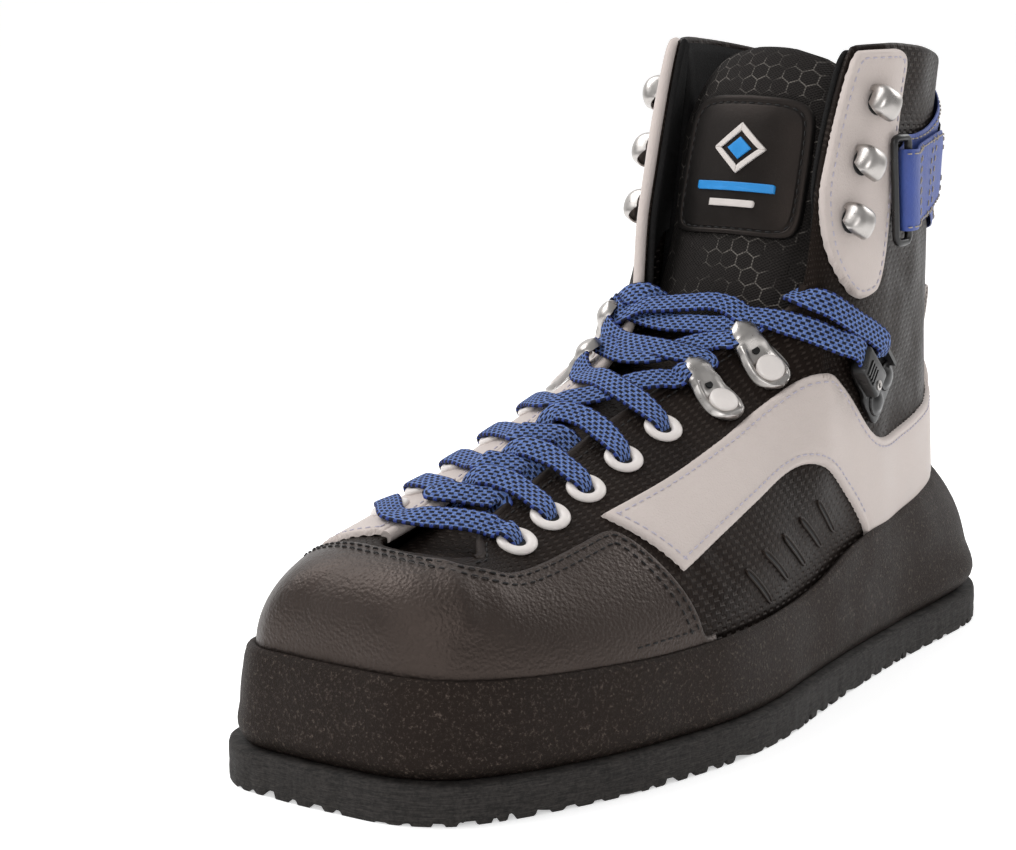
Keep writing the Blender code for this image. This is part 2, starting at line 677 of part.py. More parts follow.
def places_between(first, last):
    """The boot's own section places over a stretch that may pass the back of the heel."""
    places = np.concatenate([PLACES - PERIMETER, PLACES, PLACES + PERIMETER])
    return places[(places >= first) & (places <= last)]


def overlay(name, first, last, low, thickness, finish, cutters):
    """Leather over the upper from its own function, cut to its outline."""
    rows = [low] + [row for row in UPPER_ROWS if row > low]
    made = open_sheet(name, upper_face(places_between(first, last), rows, GAP), finish, wrap=False)
    solidify(made, thickness, 1.0)
    for shape in cutters:
        cut = made.modifiers.new("outline", "BOOLEAN")
        cut.operation = "INTERSECT"
        cut.solver = "EXACT"
        cut.object = shape


def make_overlays():
    toe = SECTION_PLACE[TOE_SECTION]
    heel = PERIMETER
    ahead_of_seam = toe_cutter("toe_cap_outline", 0.0, CUTTER_REACH)
    behind_seam = toe_cutter("panel_front_outline", -SEAM_GAP, -CUTTER_REACH)
    first, last = TOE_CAP_STRETCH
    overlay("toe_cap", toe + first, toe + last, OVERLAY_FOOT, LEATHER, LEATHER_GRAINED, [ahead_of_seam])
    first, last = LATERAL_PANEL_STRETCH
    outline = side_cutter("lateral_panel_outline", LATERAL_PANEL, 1)
    overlay("side_panel_lateral", first, toe + last, OVERLAY_FOOT, LEATHER, LEATHER_WHITE,
            [outline, behind_seam])
    first, last = MEDIAL_PANEL_STRETCH
    outline = side_cutter("medial_panel_outline", MEDIAL_PANEL, -1)
    overlay("side_panel_medial", toe + first, heel + last, OVERLAY_FOOT, LEATHER, LEATHER_WHITE,
            [outline, behind_seam])
    first, last = LATERAL_FLAP_STRETCH
    outline = side_cutter("lateral_flap_outline", HOOK_FLAP, 1)
    overlay("hook_flap_lateral", first, last, FLAP_FOOT, FLAP_THICKNESS, LEATHER_WHITE, [outline])
    first, last = MEDIAL_FLAP_STRETCH
    outline = side_cutter("medial_flap_outline", HOOK_FLAP, -1)
    overlay("hook_flap_medial", heel + first, heel + last, FLAP_FOOT, FLAP_THICKNESS, LEATHER_WHITE,
            [outline])
    first, last = HEEL_PAD_STRETCH
    outline = side_cutter("heel_pad_outline", HEEL_PAD, 0)
    overlay("heel_pad", first, last, FLAP_FOOT, LEATHER, MESH_BLACK, [outline])


# Strap, ring and pull tab


def make_strap():
    rows = table(STRAP_COLUMNS, STRAP)
    knots = np.arange(len(STRAP), dtype=float)
    at = np.linspace(0.0, len(STRAP) - 1, 2 * len(STRAP) - 1)
    read = {name: curve(knots, values, at) for name, values in rows.items()}
    levels = np.linspace(0.0, 1.0, 3)
    lines = np.empty((len(at), len(levels), 3))
    for k in range(len(at)):
        for j, level in enumerate(levels):
            z = read["low_z"][k] + (read["high_z"][k] - read["low_z"][k]) * level
            lines[k, j] = on_upper(read["place"][k], z, read["lift"][k])
    out = np.cross(np.gradient(lines, axis=0), np.gradient(lines, axis=1))
    out *= STRAP_THICKNESS / 2 / np.linalg.norm(out, axis=2, keepdims=True)
    rings = [np.concatenate([line - shift, (line + shift)[::-1]]) for line, shift in zip(lines, out)]
    loft("ankle_strap", rings, LEATHER_BLUE)


def make_ring():
    corners = np.array([on_upper(*corner) for corner in RING])
    wire = bpy.data.curves.new("strap_ring", "CURVE")
    wire.dimensions = "3D"
    wire.bevel_depth = RING_WIRE * MM
    wire.bevel_resolution = 2
    points = rounded(corners, CORNER_RADIUS / 2)
    spline = wire.splines.new("POLY")
    spline.points.add(len(points) - 1)
    for place, point in zip(spline.points, points):
        place.co = (*(Vector(point) * MM), 1.0)
    spline.use_cyclic_u = True
    wire.materials.append(PLASTIC_BLACK)
    made = bpy.data.objects.new("strap_ring", wire)
    BOOT.objects.link(made)
    made.parent = ROOT


def make_pull_tab():
    rings = []
    half = PULL_TAB_THICKNESS / 2
    for x, z, width in PULL_TAB:
        corners = [(x - half, -width, z), (x + half, -width, z), (x + half, width, z), (x - half, width, z)]
        rings.append(np.array(corners))
    loft("pull_tab", rings, WEBBING_WHITE)


# Fittings


def turned(name, profile, steps, finish):
    """A turned piece: its profile, as radius and height, swept round z."""
    mesh = bpy.data.meshes.new(name)
    count = len(profile)
    points = [(radius * MM, 0.0, height * MM) for radius, height in profile]
    mesh.from_pydata(points, [(k, (k + 1) % count) for k in range(count)], [])
    mesh.materials.append(finish)
    made = bpy.data.objects.new(name, mesh)
    BOOT.objects.link(made)
    made.parent = ROOT
    sweep = made.modifiers.new("sweep", "SCREW")
    sweep.steps = steps
    sweep.render_steps = steps
    sweep.use_merge_vertices = True
    sweep.merge_threshold = 0.00001
    sweep.use_normal_calculate = True
    sweep.use_normal_flip = True
    return made


def make_eyelets():
    for number, point in enumerate(EYELETS, 1):
        outer = turned(f"eyelet_lateral_{number}", EYELET_PROFILE, EYELET_STEPS, PLASTIC_WHITE)
        outer.matrix_local = standing(point, (1.0, 0.0, 0.0), GAP)
        inner = turned(f"eyelet_medial_{number}", EYELET_PROFILE, EYELET_STEPS, PLASTIC_WHITE)
        inner.matrix_local = standing(mirrored(point), (1.0, 0.0, 0.0), LEATHER + 2 * GAP)


def ghillie_places():
    """Name and placing of each ghillie, its inner end towards the throat."""
    places = {}
    for number, point in enumerate(GHILLIES, 1):
        places["lateral", number] = standing(point, GHILLIE_DIRECTION, 2 * GAP)
        inward = (GHILLIE_DIRECTION[0], -GHILLIE_DIRECTION[1], GHILLIE_DIRECTION[2])
        places["medial", number] = standing(mirrored(point), inward, LEATHER + 4 * GAP)
    return places


def make_ghillies():
    rings = []
    for along, width, height in GHILLIE_SHAPE:
        top = width * GHILLIE_TAPER
        corners = [(along, -width, 0.0), (along, width, 0.0), (along, top, height), (along, -top, height)]
        rings.append(np.array(corners))
    for (side, number), place in ghillie_places().items():
        made = loft(f"ghillie_{side}_{number}", rings, STEEL)
        made.matrix_local = place


def make_speed_hooks():
    lift = FLAP_THICKNESS + 4 * GAP
    for number, point in enumerate(SPEED_HOOKS, 1):
        for side, turn in SIDES:
            made = prism(f"speed_hook_{side}_{number}", HOOK_PROFILE, HOOK_WIDTH, STEEL)
            toward = (HOOK_DIRECTION[0], turn * HOOK_DIRECTION[1], HOOK_DIRECTION[2])
            place = standing((point[0], turn * point[1], point[2]), toward, lift)
            upright = Matrix.Rotation(math.pi / 2, 4, "X")
            centred = Matrix.Translation((0.0, 0.0, -HOOK_WIDTH / 2 * MM))
            made.matrix_local = place @ upright @ centred


def lock_place(turn):
    return standing((LACE_LOCK[0], turn * LACE_LOCK[1], LACE_LOCK[2]), LOCK_DIRECTION, GAP)


def make_locks():
    for side, turn in SIDES:
        plate = prism(f"lace_lock_{side}", LOCK_OUTLINE, LOCK_THICKNESS, PLASTIC_BLACK)
        plate.matrix_local = lock_place(turn)
        for number, across in enumerate(LOCK_RIVETS, 1):
            rivet = turned(f"lock_rivet_{side}_{number}", RIVET_PROFILE, RIVET_STEPS, PLASTIC_BLACK)
            rise = Matrix.Translation(Vector((0.0, across, LOCK_THICKNESS + GAP)) * MM)
            rivet.matrix_local = lock_place(turn) @ rise


# Lace


def throat_place(x, turn):
    """Place round the sole of the throat's edge at a distance from the heel."""
    first, last = THROAT_SECTIONS[turn]
    samples = 300
    places = np.linspace(SECTION_PLACE[first], SECTION_PLACE[last], samples)
    edge = around("top_x", places, steady_slopes)
    order = np.argsort(edge)
    return np.interp(x, edge[order], places[order])


def lace_lift(turn):
    """Height of a band's middle over the upper beside the throat."""
    return LACE_CLEARANCE + LACE_THICKNESS / 2 + (LEATHER if turn < 0 else 0.0)


def lifted(u, v, lift):
    """Point over the upper and the direction away from it, as a band's route needs them."""
    foot = upper_face([u], [v])[0, 0]
    out = upper_face([u], [v], 1.0)[0, 0] - foot
    return foot + out * lift, out


def over_edge(x, turn):
    """A band passing over the throat's edge."""
    return lifted(throat_place(x, turn), 1.0, lace_lift(turn))


def under_edge(x, turn):
    """A band coming out of the throat, over the tongue."""
    edge, _ = lifted(throat_place(x, turn), 1.0, 0.0)
    return edge + np.array([0.0, -turn * LACE_START[0], LACE_START[1]]), INSTEP_OUT


def into_eyelet(number, turn):
    point = EYELETS[number] if turn > 0 else mirrored(EYELETS[number])
    return lifted(*nearest(point), lace_lift(turn))


def on_side(point, turn, lift):
    """A band lying on one side of the ankle."""
    return lifted(*nearest((point[0], turn * point[1], point[2])), lift)


def band(name, route, collection=None):
    """A flat band along a route of points and outward directions."""
    points, outs = (np.array(part) for part in zip(*route))
    knots = np.arange(len(route), dtype=float)
    at = np.linspace(0.0, len(route) - 1, 2 * len(route) - 1)
    path = np.stack([curve(knots, points[:, k], at) for k in range(3)], axis=-1)
    thick = np.stack([curve(knots, outs[:, k], at) for k in range(3)], axis=-1)
    wide = np.cross(thick, np.gradient(path, axis=0))
    wide *= LACE_HALF_WIDTH / np.linalg.norm(wide, axis=1, keepdims=True)
    thick *= LACE_THICKNESS / 2 / np.linalg.norm(thick, axis=1, keepdims=True)
    corners = [path - wide - thick, path + wide - thick, path + wide + thick, path - wide + thick]
    return loft(name, list(np.stack(corners, axis=1)), LACE_BLUE, collection)


def joined_bands(name, routes):
    """Bands that cross or meet, joined into one solid."""
    made = band(name, routes[0])
    for number, route in enumerate(routes[1:], 2):
        other = band(f"{name}_strand_{number}", route, CUTTERS)
        other.hide_render = True
        other.display_type = "WIRE"
        join = made.modifiers.new("join", "BOOLEAN")
        join.operation = "UNION"
        join.solver = "EXACT"
        join.object = other


def crossing(name, routes):
    """Two bands that cross over the middle of the throat, between their first and second places."""
    middle = np.mean([place[0] for route in routes for place in route[:2]], axis=0)
    over = np.array([middle[0], THROAT_MIDDLE, middle[2] + LACE_RISE]), INSTEP_OUT
    joined_bands(name, [[route[0], over] + route[1:] for route in routes])


def make_lace():
    front = EYELETS[0][0]
    edges = [over_edge(front, -1), over_edge(front, 1)]
    band("lace_front_bar", [into_eyelet(0, -1)] + edges + [into_eyelet(0, 1)])
    for number in range(len(EYELETS) - 1):
        routes = []
        for _, turn in SIDES:
            start = under_edge(EYELETS[number][0], -turn)
            edge = over_edge(EYELETS[number + 1][0] + LACE_LEAD, turn)
            routes.append([start, edge, into_eyelet(number + 1, turn)])
        crossing(f"lace_crossing_{number + 1}", routes)


def beside_ghillie(side, number, ahead):
    """A band at the inner end of a ghillie, before it or behind it."""
    mouth = np.array(ghillie_places()[side, number] @ (Vector(GHILLIE_MOUTH) * MM)) / MM
    return mouth + INSTEP_ALONG * ahead, INSTEP_OUT


def make_upper_lace():
    """Lace from the last eyelets through the ghillies to the locks."""
    to_first, to_second, to_locks = [], [], []
    for side, turn in SIDES:
        other = "medial" if turn > 0 else "lateral"
        start = under_edge(EYELETS[-1][0], -turn)
        to_first.append([start, beside_ghillie(side, 1, GHILLIE_BESIDE)])
        start = beside_ghillie(other, 1, -GHILLIE_BESIDE)
        to_second.append([start, beside_ghillie(side, 2, GHILLIE_BESIDE)])
        start = beside_ghillie(other, 2, -GHILLIE_BESIDE)
        bend = on_side(ANKLE_BEND, turn, ANKLE_LIFT)
        mouth = on_side(LOCK_MOUTH, turn, ANKLE_LIFT)
        to_locks.append([start, over_edge(ANKLE_EDGE, turn), bend, mouth])
    crossing("lace_crossing_5", to_first)
    crossing("lace_crossing_6", to_second)
    crossing("lace_ankle", to_locks)


clear_scene()
BOOT = new_collection("shooting_boot")
CUTTERS = new_collection("cutters")
ROOT = bpy.data.objects.new("boot_frame", None)
BOOT.objects.link(ROOT)
SOLE_EDGE_POINTS, _ = sole_outline(PLACES, np.zeros(PLACES.shape))
SOLE_MIDDLE = (SOLE_EDGE_POINTS.min(axis=0) + SOLE_EDGE_POINTS.max(axis=0)) / 2
ROOT.location = (-SOLE_MIDDLE[0] * MM, -SOLE_MIDDLE[1] * MM, 0.0)

RUBBER = material("rubber", (0.045, 0.042, 0.04), 0.85)
WALL_FOAM = material("wall_foam", (0.02, 0.019, 0.018), 0.7)
INSOLE_FELT = material("insole_felt", (0.05, 0.05, 0.055), 0.95)
LEATHER_BLACK = material("leather_black", (0.012, 0.012, 0.013), 0.45)
LEATHER_GRAINED = material("leather_grained", (0.014, 0.014, 0.014), 0.4)
LEATHER_WHITE = material("leather_white", (0.66, 0.61, 0.58), 0.5)
LEATHER_BLUE = material("leather_blue", (0.05, 0.1, 0.37), 0.5)
MESH_BLACK = material("mesh_black", (0.015, 0.015, 0.016), 0.9)
BADGE_RUBBER = material("badge_rubber", (0.01, 0.01, 0.01), 0.35)
WEBBING_WHITE = material("webbing_white", (0.6, 0.57, 0.55), 0.85)
PLASTIC_WHITE = material("plastic_white", (0.8, 0.78, 0.76), 0.35)
PLASTIC_BLACK = material("plastic_black", (0.012, 0.012, 0.012), 0.35)
LACE_BLUE = material("lace_blue", (0.07, 0.13, 0.42), 0.85)
STEEL = material("steel", (0.62, 0.61, 0.6), 0.3, 1.0)

make_outsole()
make_side_wall()
make_insole()
make_upper()
make_tongue()
make_badge()
make_overlays()
make_strap()
make_ring()
make_pull_tab()
make_eyelets()
make_ghillies()
make_speed_hooks()
make_locks()
make_lace()
make_upper_lace()
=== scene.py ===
"""Looks of the target-shooting shoe: leather, mesh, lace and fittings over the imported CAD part.

Lengths are in millimetres in the frame of the last, as in the part's source: x from the back of the
heel to the toe, y to the outer side, z up. row_frame() moves points to the row frame in metres.
"""

import math

import bmesh
import bpy
import numpy as np
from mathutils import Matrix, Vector, geometry, kdtree


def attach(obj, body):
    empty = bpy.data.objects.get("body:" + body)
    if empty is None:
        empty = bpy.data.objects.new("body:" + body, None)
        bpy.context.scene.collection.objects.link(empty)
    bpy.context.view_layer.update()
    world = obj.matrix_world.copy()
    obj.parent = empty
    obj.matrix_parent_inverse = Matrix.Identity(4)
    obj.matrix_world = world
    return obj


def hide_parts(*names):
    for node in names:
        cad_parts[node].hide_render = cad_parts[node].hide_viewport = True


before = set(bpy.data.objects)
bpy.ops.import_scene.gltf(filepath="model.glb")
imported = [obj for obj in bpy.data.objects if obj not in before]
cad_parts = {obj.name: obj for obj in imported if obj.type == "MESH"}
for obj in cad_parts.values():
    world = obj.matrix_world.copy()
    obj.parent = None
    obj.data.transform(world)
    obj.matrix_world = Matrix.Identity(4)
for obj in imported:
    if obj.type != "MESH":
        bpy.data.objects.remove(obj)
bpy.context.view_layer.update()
MM = 0.001

# Sizes and tables of the part's source. HEEL_CURVE, HEEL_TOP, STRAP, HOOK_DIRECTION and HOOK_SECTION
# are this script's own, closer to the photo.
SOLE_THICKNESS = 10.5
GAP = 0.3
WALL = 2.4
FLOOR_Z = 16.8
BASE_LEAN = 0.04
COLUMN_STEP = 11.0
LEATHER = 1.2
SECTION_COLUMNS = ("sole_x", "sole_y", "inset", "top_x", "top_y", "top_z", "slope", "low_pull", "top_pull")
SECTIONS = (
    (0.0, 0.0, 7.5, 24.0, 0.0, 178.5, 78.0, 45.0, 45.0),
    (3.5, 14.0, 11.5, 27.0, 14.0, 179.0, 84.0, 45.0, 45.0),
    (11.0, 29.0, 17.0, 36.0, 25.0, 181.0, 94.0, 45.0, 45.0),
    (26.0, 39.3, 17.0, 52.0, 33.5, 185.0, 98.0, 45.0, 45.0),
    (50.0, 43.0, 12.5, 72.0, 38.0, 188.0, 97.0, 48.0, 45.0),
    (74.0, 44.5, 8.8, 89.0, 38.0, 189.3, 90.0, 52.0, 50.0),
    (92.0, 46.3, 6.5, 101.5, 34.0, 189.0, 84.0, 55.0, 50.0),
    (110.0, 48.6, 6.5, 119.5, 31.5, 142.0, 82.0, 45.0, 35.0),
    (128.0, 51.2, 6.5, 122.0, 29.0, 116.5, 62.0, 38.0, 24.0),
    (150.0, 55.0, 6.8, 143.0, 15.0, 102.5, 32.0, 34.0, 22.0),
    (172.0, 59.0, 7.0, 165.0, 10.0, 93.5, 22.0, 30.0, 24.0),
    (196.0, 60.0, 7.0, 190.0, 7.0, 85.5, 20.0, 27.0, 26.0),
    (220.0, 57.0, 7.0, 215.0, 6.5, 77.2, 20.0, 22.0, 26.0),
    (243.0, 52.0, 7.0, 238.0, 6.5, 69.3, 18.0, 18.0, 22.0),
    (262.0, 45.5, 7.0, 249.0, 9.5, 65.2, 14.0, 16.0, 17.0),
    (277.0, 39.0, 8.3, 257.5, 15.5, 62.4, 11.0, 14.6, 15.0),
    (289.0, 31.0, 9.4, 263.0, 12.5, 62.5, 6.0, 13.5, 18.0),
    (296.5, 19.0, 10.0, 266.5, 6.0, 63.0, 3.0, 13.5, 19.0),
    (299.5, 0.0, 9.7, 268.0, -2.0, 63.2, 2.0, 13.5, 20.0),
    (300.5, -18.0, 9.7, 267.5, -9.0, 63.4, 3.0, 13.0, 21.0),
    (299.0, -34.5, 9.7, 263.0, -13.0, 64.0, 5.0, 13.0, 27.0),
    (290.0, -45.0, 9.2, 249.0, -13.0, 66.8, 9.0, 15.0, 27.0),
    (270.0, -49.5, 7.6, 228.0, -13.0, 72.8, 14.0, 19.0, 25.0),
    (245.0, -51.5, 7.0, 203.0, -13.5, 81.0, 18.0, 23.0, 22.0),
    (217.0, -51.5, 7.0, 177.0, -15.5, 89.5, 20.0, 28.0, 22.0),
    (189.0, -49.5, 7.0, 152.0, -18.0, 98.5, 28.0, 33.0, 22.0),
    (162.0, -46.0, 6.8, 135.0, -21.5, 110.0, 48.0, 37.0, 22.0),
    (140.0, -43.0, 6.6, 121.0, -28.0, 142.0, 82.0, 45.0, 35.0),
    (118.0, -41.0, 6.5, 101.5, -31.0, 189.0, 84.0, 55.0, 50.0),
    (98.0, -39.5, 6.5, 89.0, -37.0, 189.3, 88.0, 52.0, 50.0),
    (76.0, -39.5, 7.0, 72.0, -40.0, 188.0, 92.0, 48.0, 45.0),
    (50.0, -39.5, 9.0, 52.0, -36.5, 185.0, 90.0, 45.0, 45.0),
    (26.0, -36.5, 12.0, 36.0, -27.0, 181.0, 85.0, 45.0, 45.0),
    (8.0, -24.5, 12.0, 28.0, -16.0, 179.0, 80.0, 45.0, 45.0),
)
RIM = (
    (0.0, 52.0), (16.0, 50.5), (27.0, 49.0), (43.0, 47.0), (60.0, 45.5), (80.0, 44.3), (100.0, 43.8),
    (118.0, 41.5), (137.0, 37.2), (150.0, 35.6), (170.0, 35.0), (190.0, 34.3), (207.0, 33.8), (225.0, 33.7),
    (245.0, 34.4), (267.0, 35.2), (285.0, 36.4), (292.0, 37.3), (300.0, 38.2),
)
SIDE_PROFILE = (
    (0.0, 0.52, 0.28), (0.07, 0.36, 0.12), (0.4, 0.34, 0.21), (0.75, 0.44, 0.48), (0.93, 0.54, 0.75), (1.0, 0.64, 0.90),
)
HEEL_SHAPE_END = 30.0
TOE_SHAPE_START = 100.0
TONGUE_COLUMNS = ("x", "y", "z", "half_width", "drop", "thickness")
TONGUE = (
    (276.0, -3.5, 57.0, 13.0, 1.5, 2.4), (255.0, -3.5, 60.5, 14.0, 1.8, 2.6),
    (237.0, -3.5, 66.0, 15.0, 2.2, 2.8), (215.0, -3.5, 73.5, 17.0, 3.0, 3.0),
    (190.0, -3.3, 81.5, 19.0, 3.6, 3.2), (165.0, -2.8, 89.5, 21.0, 4.5, 3.6),
    (145.0, -2.0, 98.0, 23.0, 5.5, 4.0), (131.0, -1.0, 109.0, 25.0, 7.0, 4.6),
    (122.0, 0.0, 122.0, 27.0, 8.0, 5.2), (116.5, 0.6, 135.0, 28.0, 8.0, 6.0),
    (112.0, 1.0, 153.0, 28.0, 8.0, 7.0), (107.0, 1.2, 171.0, 27.0, 8.0, 7.0),
    (97.0, 1.5, 189.5, 24.0, 8.0, 5.0),
)
BADGE_ROWS = (8.85, 11.15)
BADGE_HALF_WIDTH = 21.0
TOE_SEAM = (
    (203.0, 70.0), (203.0, 54.0), (208.5, 50.5), (213.5, 44.0), (218.0, 33.5), (221.0, 30.0), (234.5, 28.2),
    (254.0, 25.0), (261.0, 22.5), (267.0, 17.0), (270.3, 8.0), (271.0, -4.0), (270.0, -20.0), (265.0, -34.0),
    (240.0, -43.0), (226.0, -49.0), (218.0, -54.0), (218.0, -70.0),
)
# The part of the toe seam along the inner panel
INNER_SEAM = TOE_SEAM[13:17]
HEEL_CURVE = (
    (14.0, 87.0), (22.0, 79.0), (34.0, 74.5), (60.0, 71.5), (88.0, 69.5), (100.0, 75.0), (114.0, 91.0),
    (123.0, 97.0),
)
HEEL_TOP = 93.0
VENT_CURVE = (
    (207.5, 53.0), (191.5, 58.5), (169.5, 64.5), (150.0, 69.5), (138.0, 71.5), (127.0, 68.0), (111.0, 53.9),
    (101.0, 43.0), (99.0, 20.0),
)
STRAP_COLUMNS = ("place", "low_z", "high_z", "lift")
STRAP = (
    (-92.0, 139.0, 165.0, 1.5), (-72.0, 139.0, 168.0, 1.5), (-50.0, 137.0, 172.0, 1.5),
    (-31.0, 132.0, 176.0, 1.5), (-14.0, 127.0, 178.0, 1.5), (0.0, 125.0, 178.0, 1.5),
    (14.0, 127.0, 176.0, 1.5), (31.0, 132.0, 170.5, 1.5), (50.0, 136.0, 165.0, 1.5),
    (72.0, 136.0, 162.5, 1.5), (83.0, 135.5, 162.5, 2.2), (91.0, 134.5, 160.0, 3.0),
    (96.5, 134.0, 159.0, 3.4), (98.5, 134.0, 159.0, 5.2), (96.5, 134.0, 159.0, 7.1),
    (90.0, 134.0, 159.0, 7.4), (81.0, 134.5, 159.5, 5.6), (68.0, 135.5, 160.5, 3.6),
    (52.0, 137.5, 161.5, 3.4), (36.0, 140.0, 162.0, 3.4),
)
STRAP_THICKNESS = 1.3
RING = ((94.0, 130.5, 5.3), (94.0, 162.5, 5.3), (102.5, 162.5, 3.8), (102.5, 130.5, 3.8))
RING_WIRE = 1.2
THROAT_MIDDLE = -3.5
SIDES = (("lateral", 1), ("medial", -1))
EYELETS = (
    (244.5, 18.0, 64.6), (230.0, 18.0, 68.3), (214.0, 18.0, 72.6), (196.5, 18.0, 77.7), (177.5, 18.0, 83.2),
)
GHILLIE_DIRECTION = (-0.15, -1.0, 0.5)
GHILLIES = ((156.8, 25.5, 90.9), (138.2, 29.8, 98.8))
SPEED_HOOKS = ((96.5, 38.5, 173.5), (104.0, 37.5, 156.0), (107.5, 36.5, 138.5))
HOOK_DIRECTION = (1.0, -0.5, 0.55)
# Section of a hook's shell: distance down the flap and height over it
HOOK_SECTION = ((-4.6, -0.4), (-4.8, 3.4), (-3.0, 6.6), (1.0, 7.6), (4.8, 6.4), (5.4, 4.2))
LACE_LOCK = (93.2, 46.3, 86.9)
LOCK_DIRECTION = (0.7, 0.0, 0.7)
LOCK_OUTLINE = (
    (-6.0, -10.0), (-6.0, 10.0), (5.0, 10.0), (7.0, 8.0),
    (19.0, 7.5), (19.0, -7.5), (7.0, -8.0), (5.0, -10.0),
)
LOCK_RIVETS = (-4.8, 4.8)
# Rows of SECTIONS at the collar's front ends, the ankle, the toe and the inner throat's front end
COLLAR_OUTER, ANKLE_OUTER, TOE_ROW, THROAT_INNER, ANKLE_INNER, COLLAR_INNER = 6, 8, 18, 20, 26, 28
# First and last row along the throat on each side
THROAT_SECTIONS = {1: (ANKLE_OUTER, 15), -1: (THROAT_INNER, 27)}
LACE_HALF_WIDTH = 3.8
LACE_HALF_THICKNESS = 0.65
# Directions away from the foot over the throat, for bands that rise out of it and bands that lie over it
INSTEP_OUT = np.array([0.35, 0.0, 0.94])
BAND_OUT = np.array([0.56, 0.08, 0.82])
# Change of BAND_OUT across the throat, per mm
BAND_FAN = 0.014
# Shares above this one count as over the throat
OVER_THROAT = 0.97

# Middle lines of the lace's bands where they can be seen
FRONT_BAR = (
    (254.2, -16.5, 68.7), (253.9, -3.5, 69.6), (250.3, 4.1, 69.3), (246.8, 9.4, 68.2), (245.4, 14.0, 67.2),
)
# Bands from under the inner edge to the outer eyelets 2 to 4, lying on top: where each leaves the edge, and its line
BANDS_TO_OUTER = (
    (234.5, ((232.1, -5.0, 76.3), (230.0, 2.7, 75.9), (229.8, 9.9, 73.3))),
    (219.0, ((215.1, -3.5, 81.9), (213.9, 3.7, 81.0), (214.2, 10.6, 78.4))),
    (199.5, ((195.4, -6.2, 88.4), (194.1, 1.7, 88.1), (194.7, 8.9, 85.5))),
)
# Bands from under the outer edge to the inner eyelets 2 to 4, lying below
BANDS_TO_INNER = (
    (234.0, ((235.5, 4.4, 73.0), (238.2, -1.5, 73.6), (240.5, -7.5, 73.6), (239.6, -14.0, 72.6))),
    (217.0, ((219.0, 1.5, 79.5), (222.3, -4.3, 79.4), (222.6, -11.6, 78.4))),
    (200.0, ((202.2, 0.0, 85.5), (205.3, -5.8, 85.1), (206.0, -11.9, 83.9))),
)
# The two strands from the eyelets 5 through the ghillies to the lace locks
BAND_A = ((183.6, -10.5, 91.6), (179.5, -3.0, 93.2), (170.5, 4.4, 95.6), (165.6, 8.6, 96.2), (161.0, 12.4, 96.5))
BAND_A_INNER = ((177.4, 9.2, 91.3), (176.6, 2.2, 93.8), (173.6, -6.0, 95.4))
BAND_B = ((152.7, 4.9, 102.1), (153.1, -3.6, 102.8), (151.8, -12.0, 102.9))
BAND_C = ((157.0, -8.0, 100.8), (155.8, -0.6, 101.5), (151.5, 4.0, 102.8), (146.0, 9.0, 104.6), (143.4, 12.9, 105.2))
BAND_D = ((138.3, 9.4, 109.2), (140.2, 2.2, 109.2), (140.9, -5.5, 108.9), (139.6, -13.0, 109.4))
BAND_E = (
    (137.8, -15.5, 112.0), (136.9, -9.1, 112.8), (134.9, -1.6, 113.7), (133.0, 5.9, 114.4), (132.4, 10.8, 113.6),
    (132.7, 16.7, 111.2), (131.0, 22.0, 110.8), (127.6, 28.3, 109.5), (123.7, 34.3, 107.5), (118.3, 39.6, 104.1),
)
TAIL_FROM_LOCK = (
    (97.0, 43.4, 100.6), (102.5, 43.1, 104.8), (109.9, 42.0, 108.6), (116.1, 40.3, 112.4),
    (121.3, 37.0, 115.9), (123.6, 31.0, 117.2), (121.5, 25.5, 117.5),
)
INNER_ANKLE = ((129.0, -29.5, 109.6), (123.0, -35.0, 107.2), (117.5, -40.0, 104.0))
INNER_TAIL = (
    ((112.0, -43.0, 105.5), (0.1, -0.95, 0.3)), ((122.0, -41.0, 105.5), (0.2, -0.9, 0.35)),
    ((130.0, -35.5, 107.5), (0.45, -0.8, 0.4)), ((134.2, -29.5, 111.0), (0.65, -0.6, 0.45)),
    ((135.4, -24.0, 114.4), (0.75, -0.45, 0.45)), ((134.6, -18.5, 115.4), (0.75, -0.15, 0.6)),
    ((132.0, -14.0, 112.5), (0.75, 0.05, 0.65)), ((129.0, -11.5, 109.0), (0.75, 0.1, 0.6)),
)


# Camera and light

CAMERA_AT = (0.62053, 0.42129, 0.2238)
CAMERA_FORWARD = (-0.7743, -0.6040, -0.1890)
CAMERA_LENS = 91.29
SENSOR = 36.0
NEAREST_SEEN = 0.01
# The bright side of the surroundings, behind the shoe: its direction, the cosines from it over which
# the light rises, and the strengths away from it and towards it
BACKDROP = (-0.788, -0.615, 0.0)
BACKDROP_COSINES = (0.1, 0.8)
BACKDROP_STRENGTHS = (0.42, 1.06)
# Square lamps: place, the point they face, side and power
LAMPS = {
    "key": ((0.35, -0.75, 1.25), (0.0, 0.0, 0.05), 0.8, 12.0),
    "front": ((1.3, 0.5, 0.75), (0.05, 0.0, 0.06), 0.6, 5.0),
    "back": ((-0.9, 0.35, 0.8), (-0.05, 0.0, 0.1), 0.6, 4.0),
}
FLOOR_SIZE = 6.0
FLOOR_COLOUR = (0.90, 0.90, 0.90, 1.0)
FLOOR_ROUGHNESS = 0.9
# Strength of the floor's own light, which brings it to plain white
FLOOR_GLOW = 0.47


def set_looking(item, at, forward):
    """A camera or lamp put in the scene, looking along a direction."""
    made = bpy.data.objects.new(item.name, item)
    bpy.context.scene.collection.objects.link(made)
    made.location = at
    made.rotation_mode = "QUATERNION"
    made.rotation_quaternion = forward.to_track_quat("-Z", "Y")
    return made


def make_camera():
    data = bpy.data.cameras.new("camera")
    data.lens, data.sensor_width, data.clip_start = CAMERA_LENS, SENSOR, NEAREST_SEEN
    bpy.context.scene.camera = set_looking(data, CAMERA_AT, Vector(CAMERA_FORWARD))


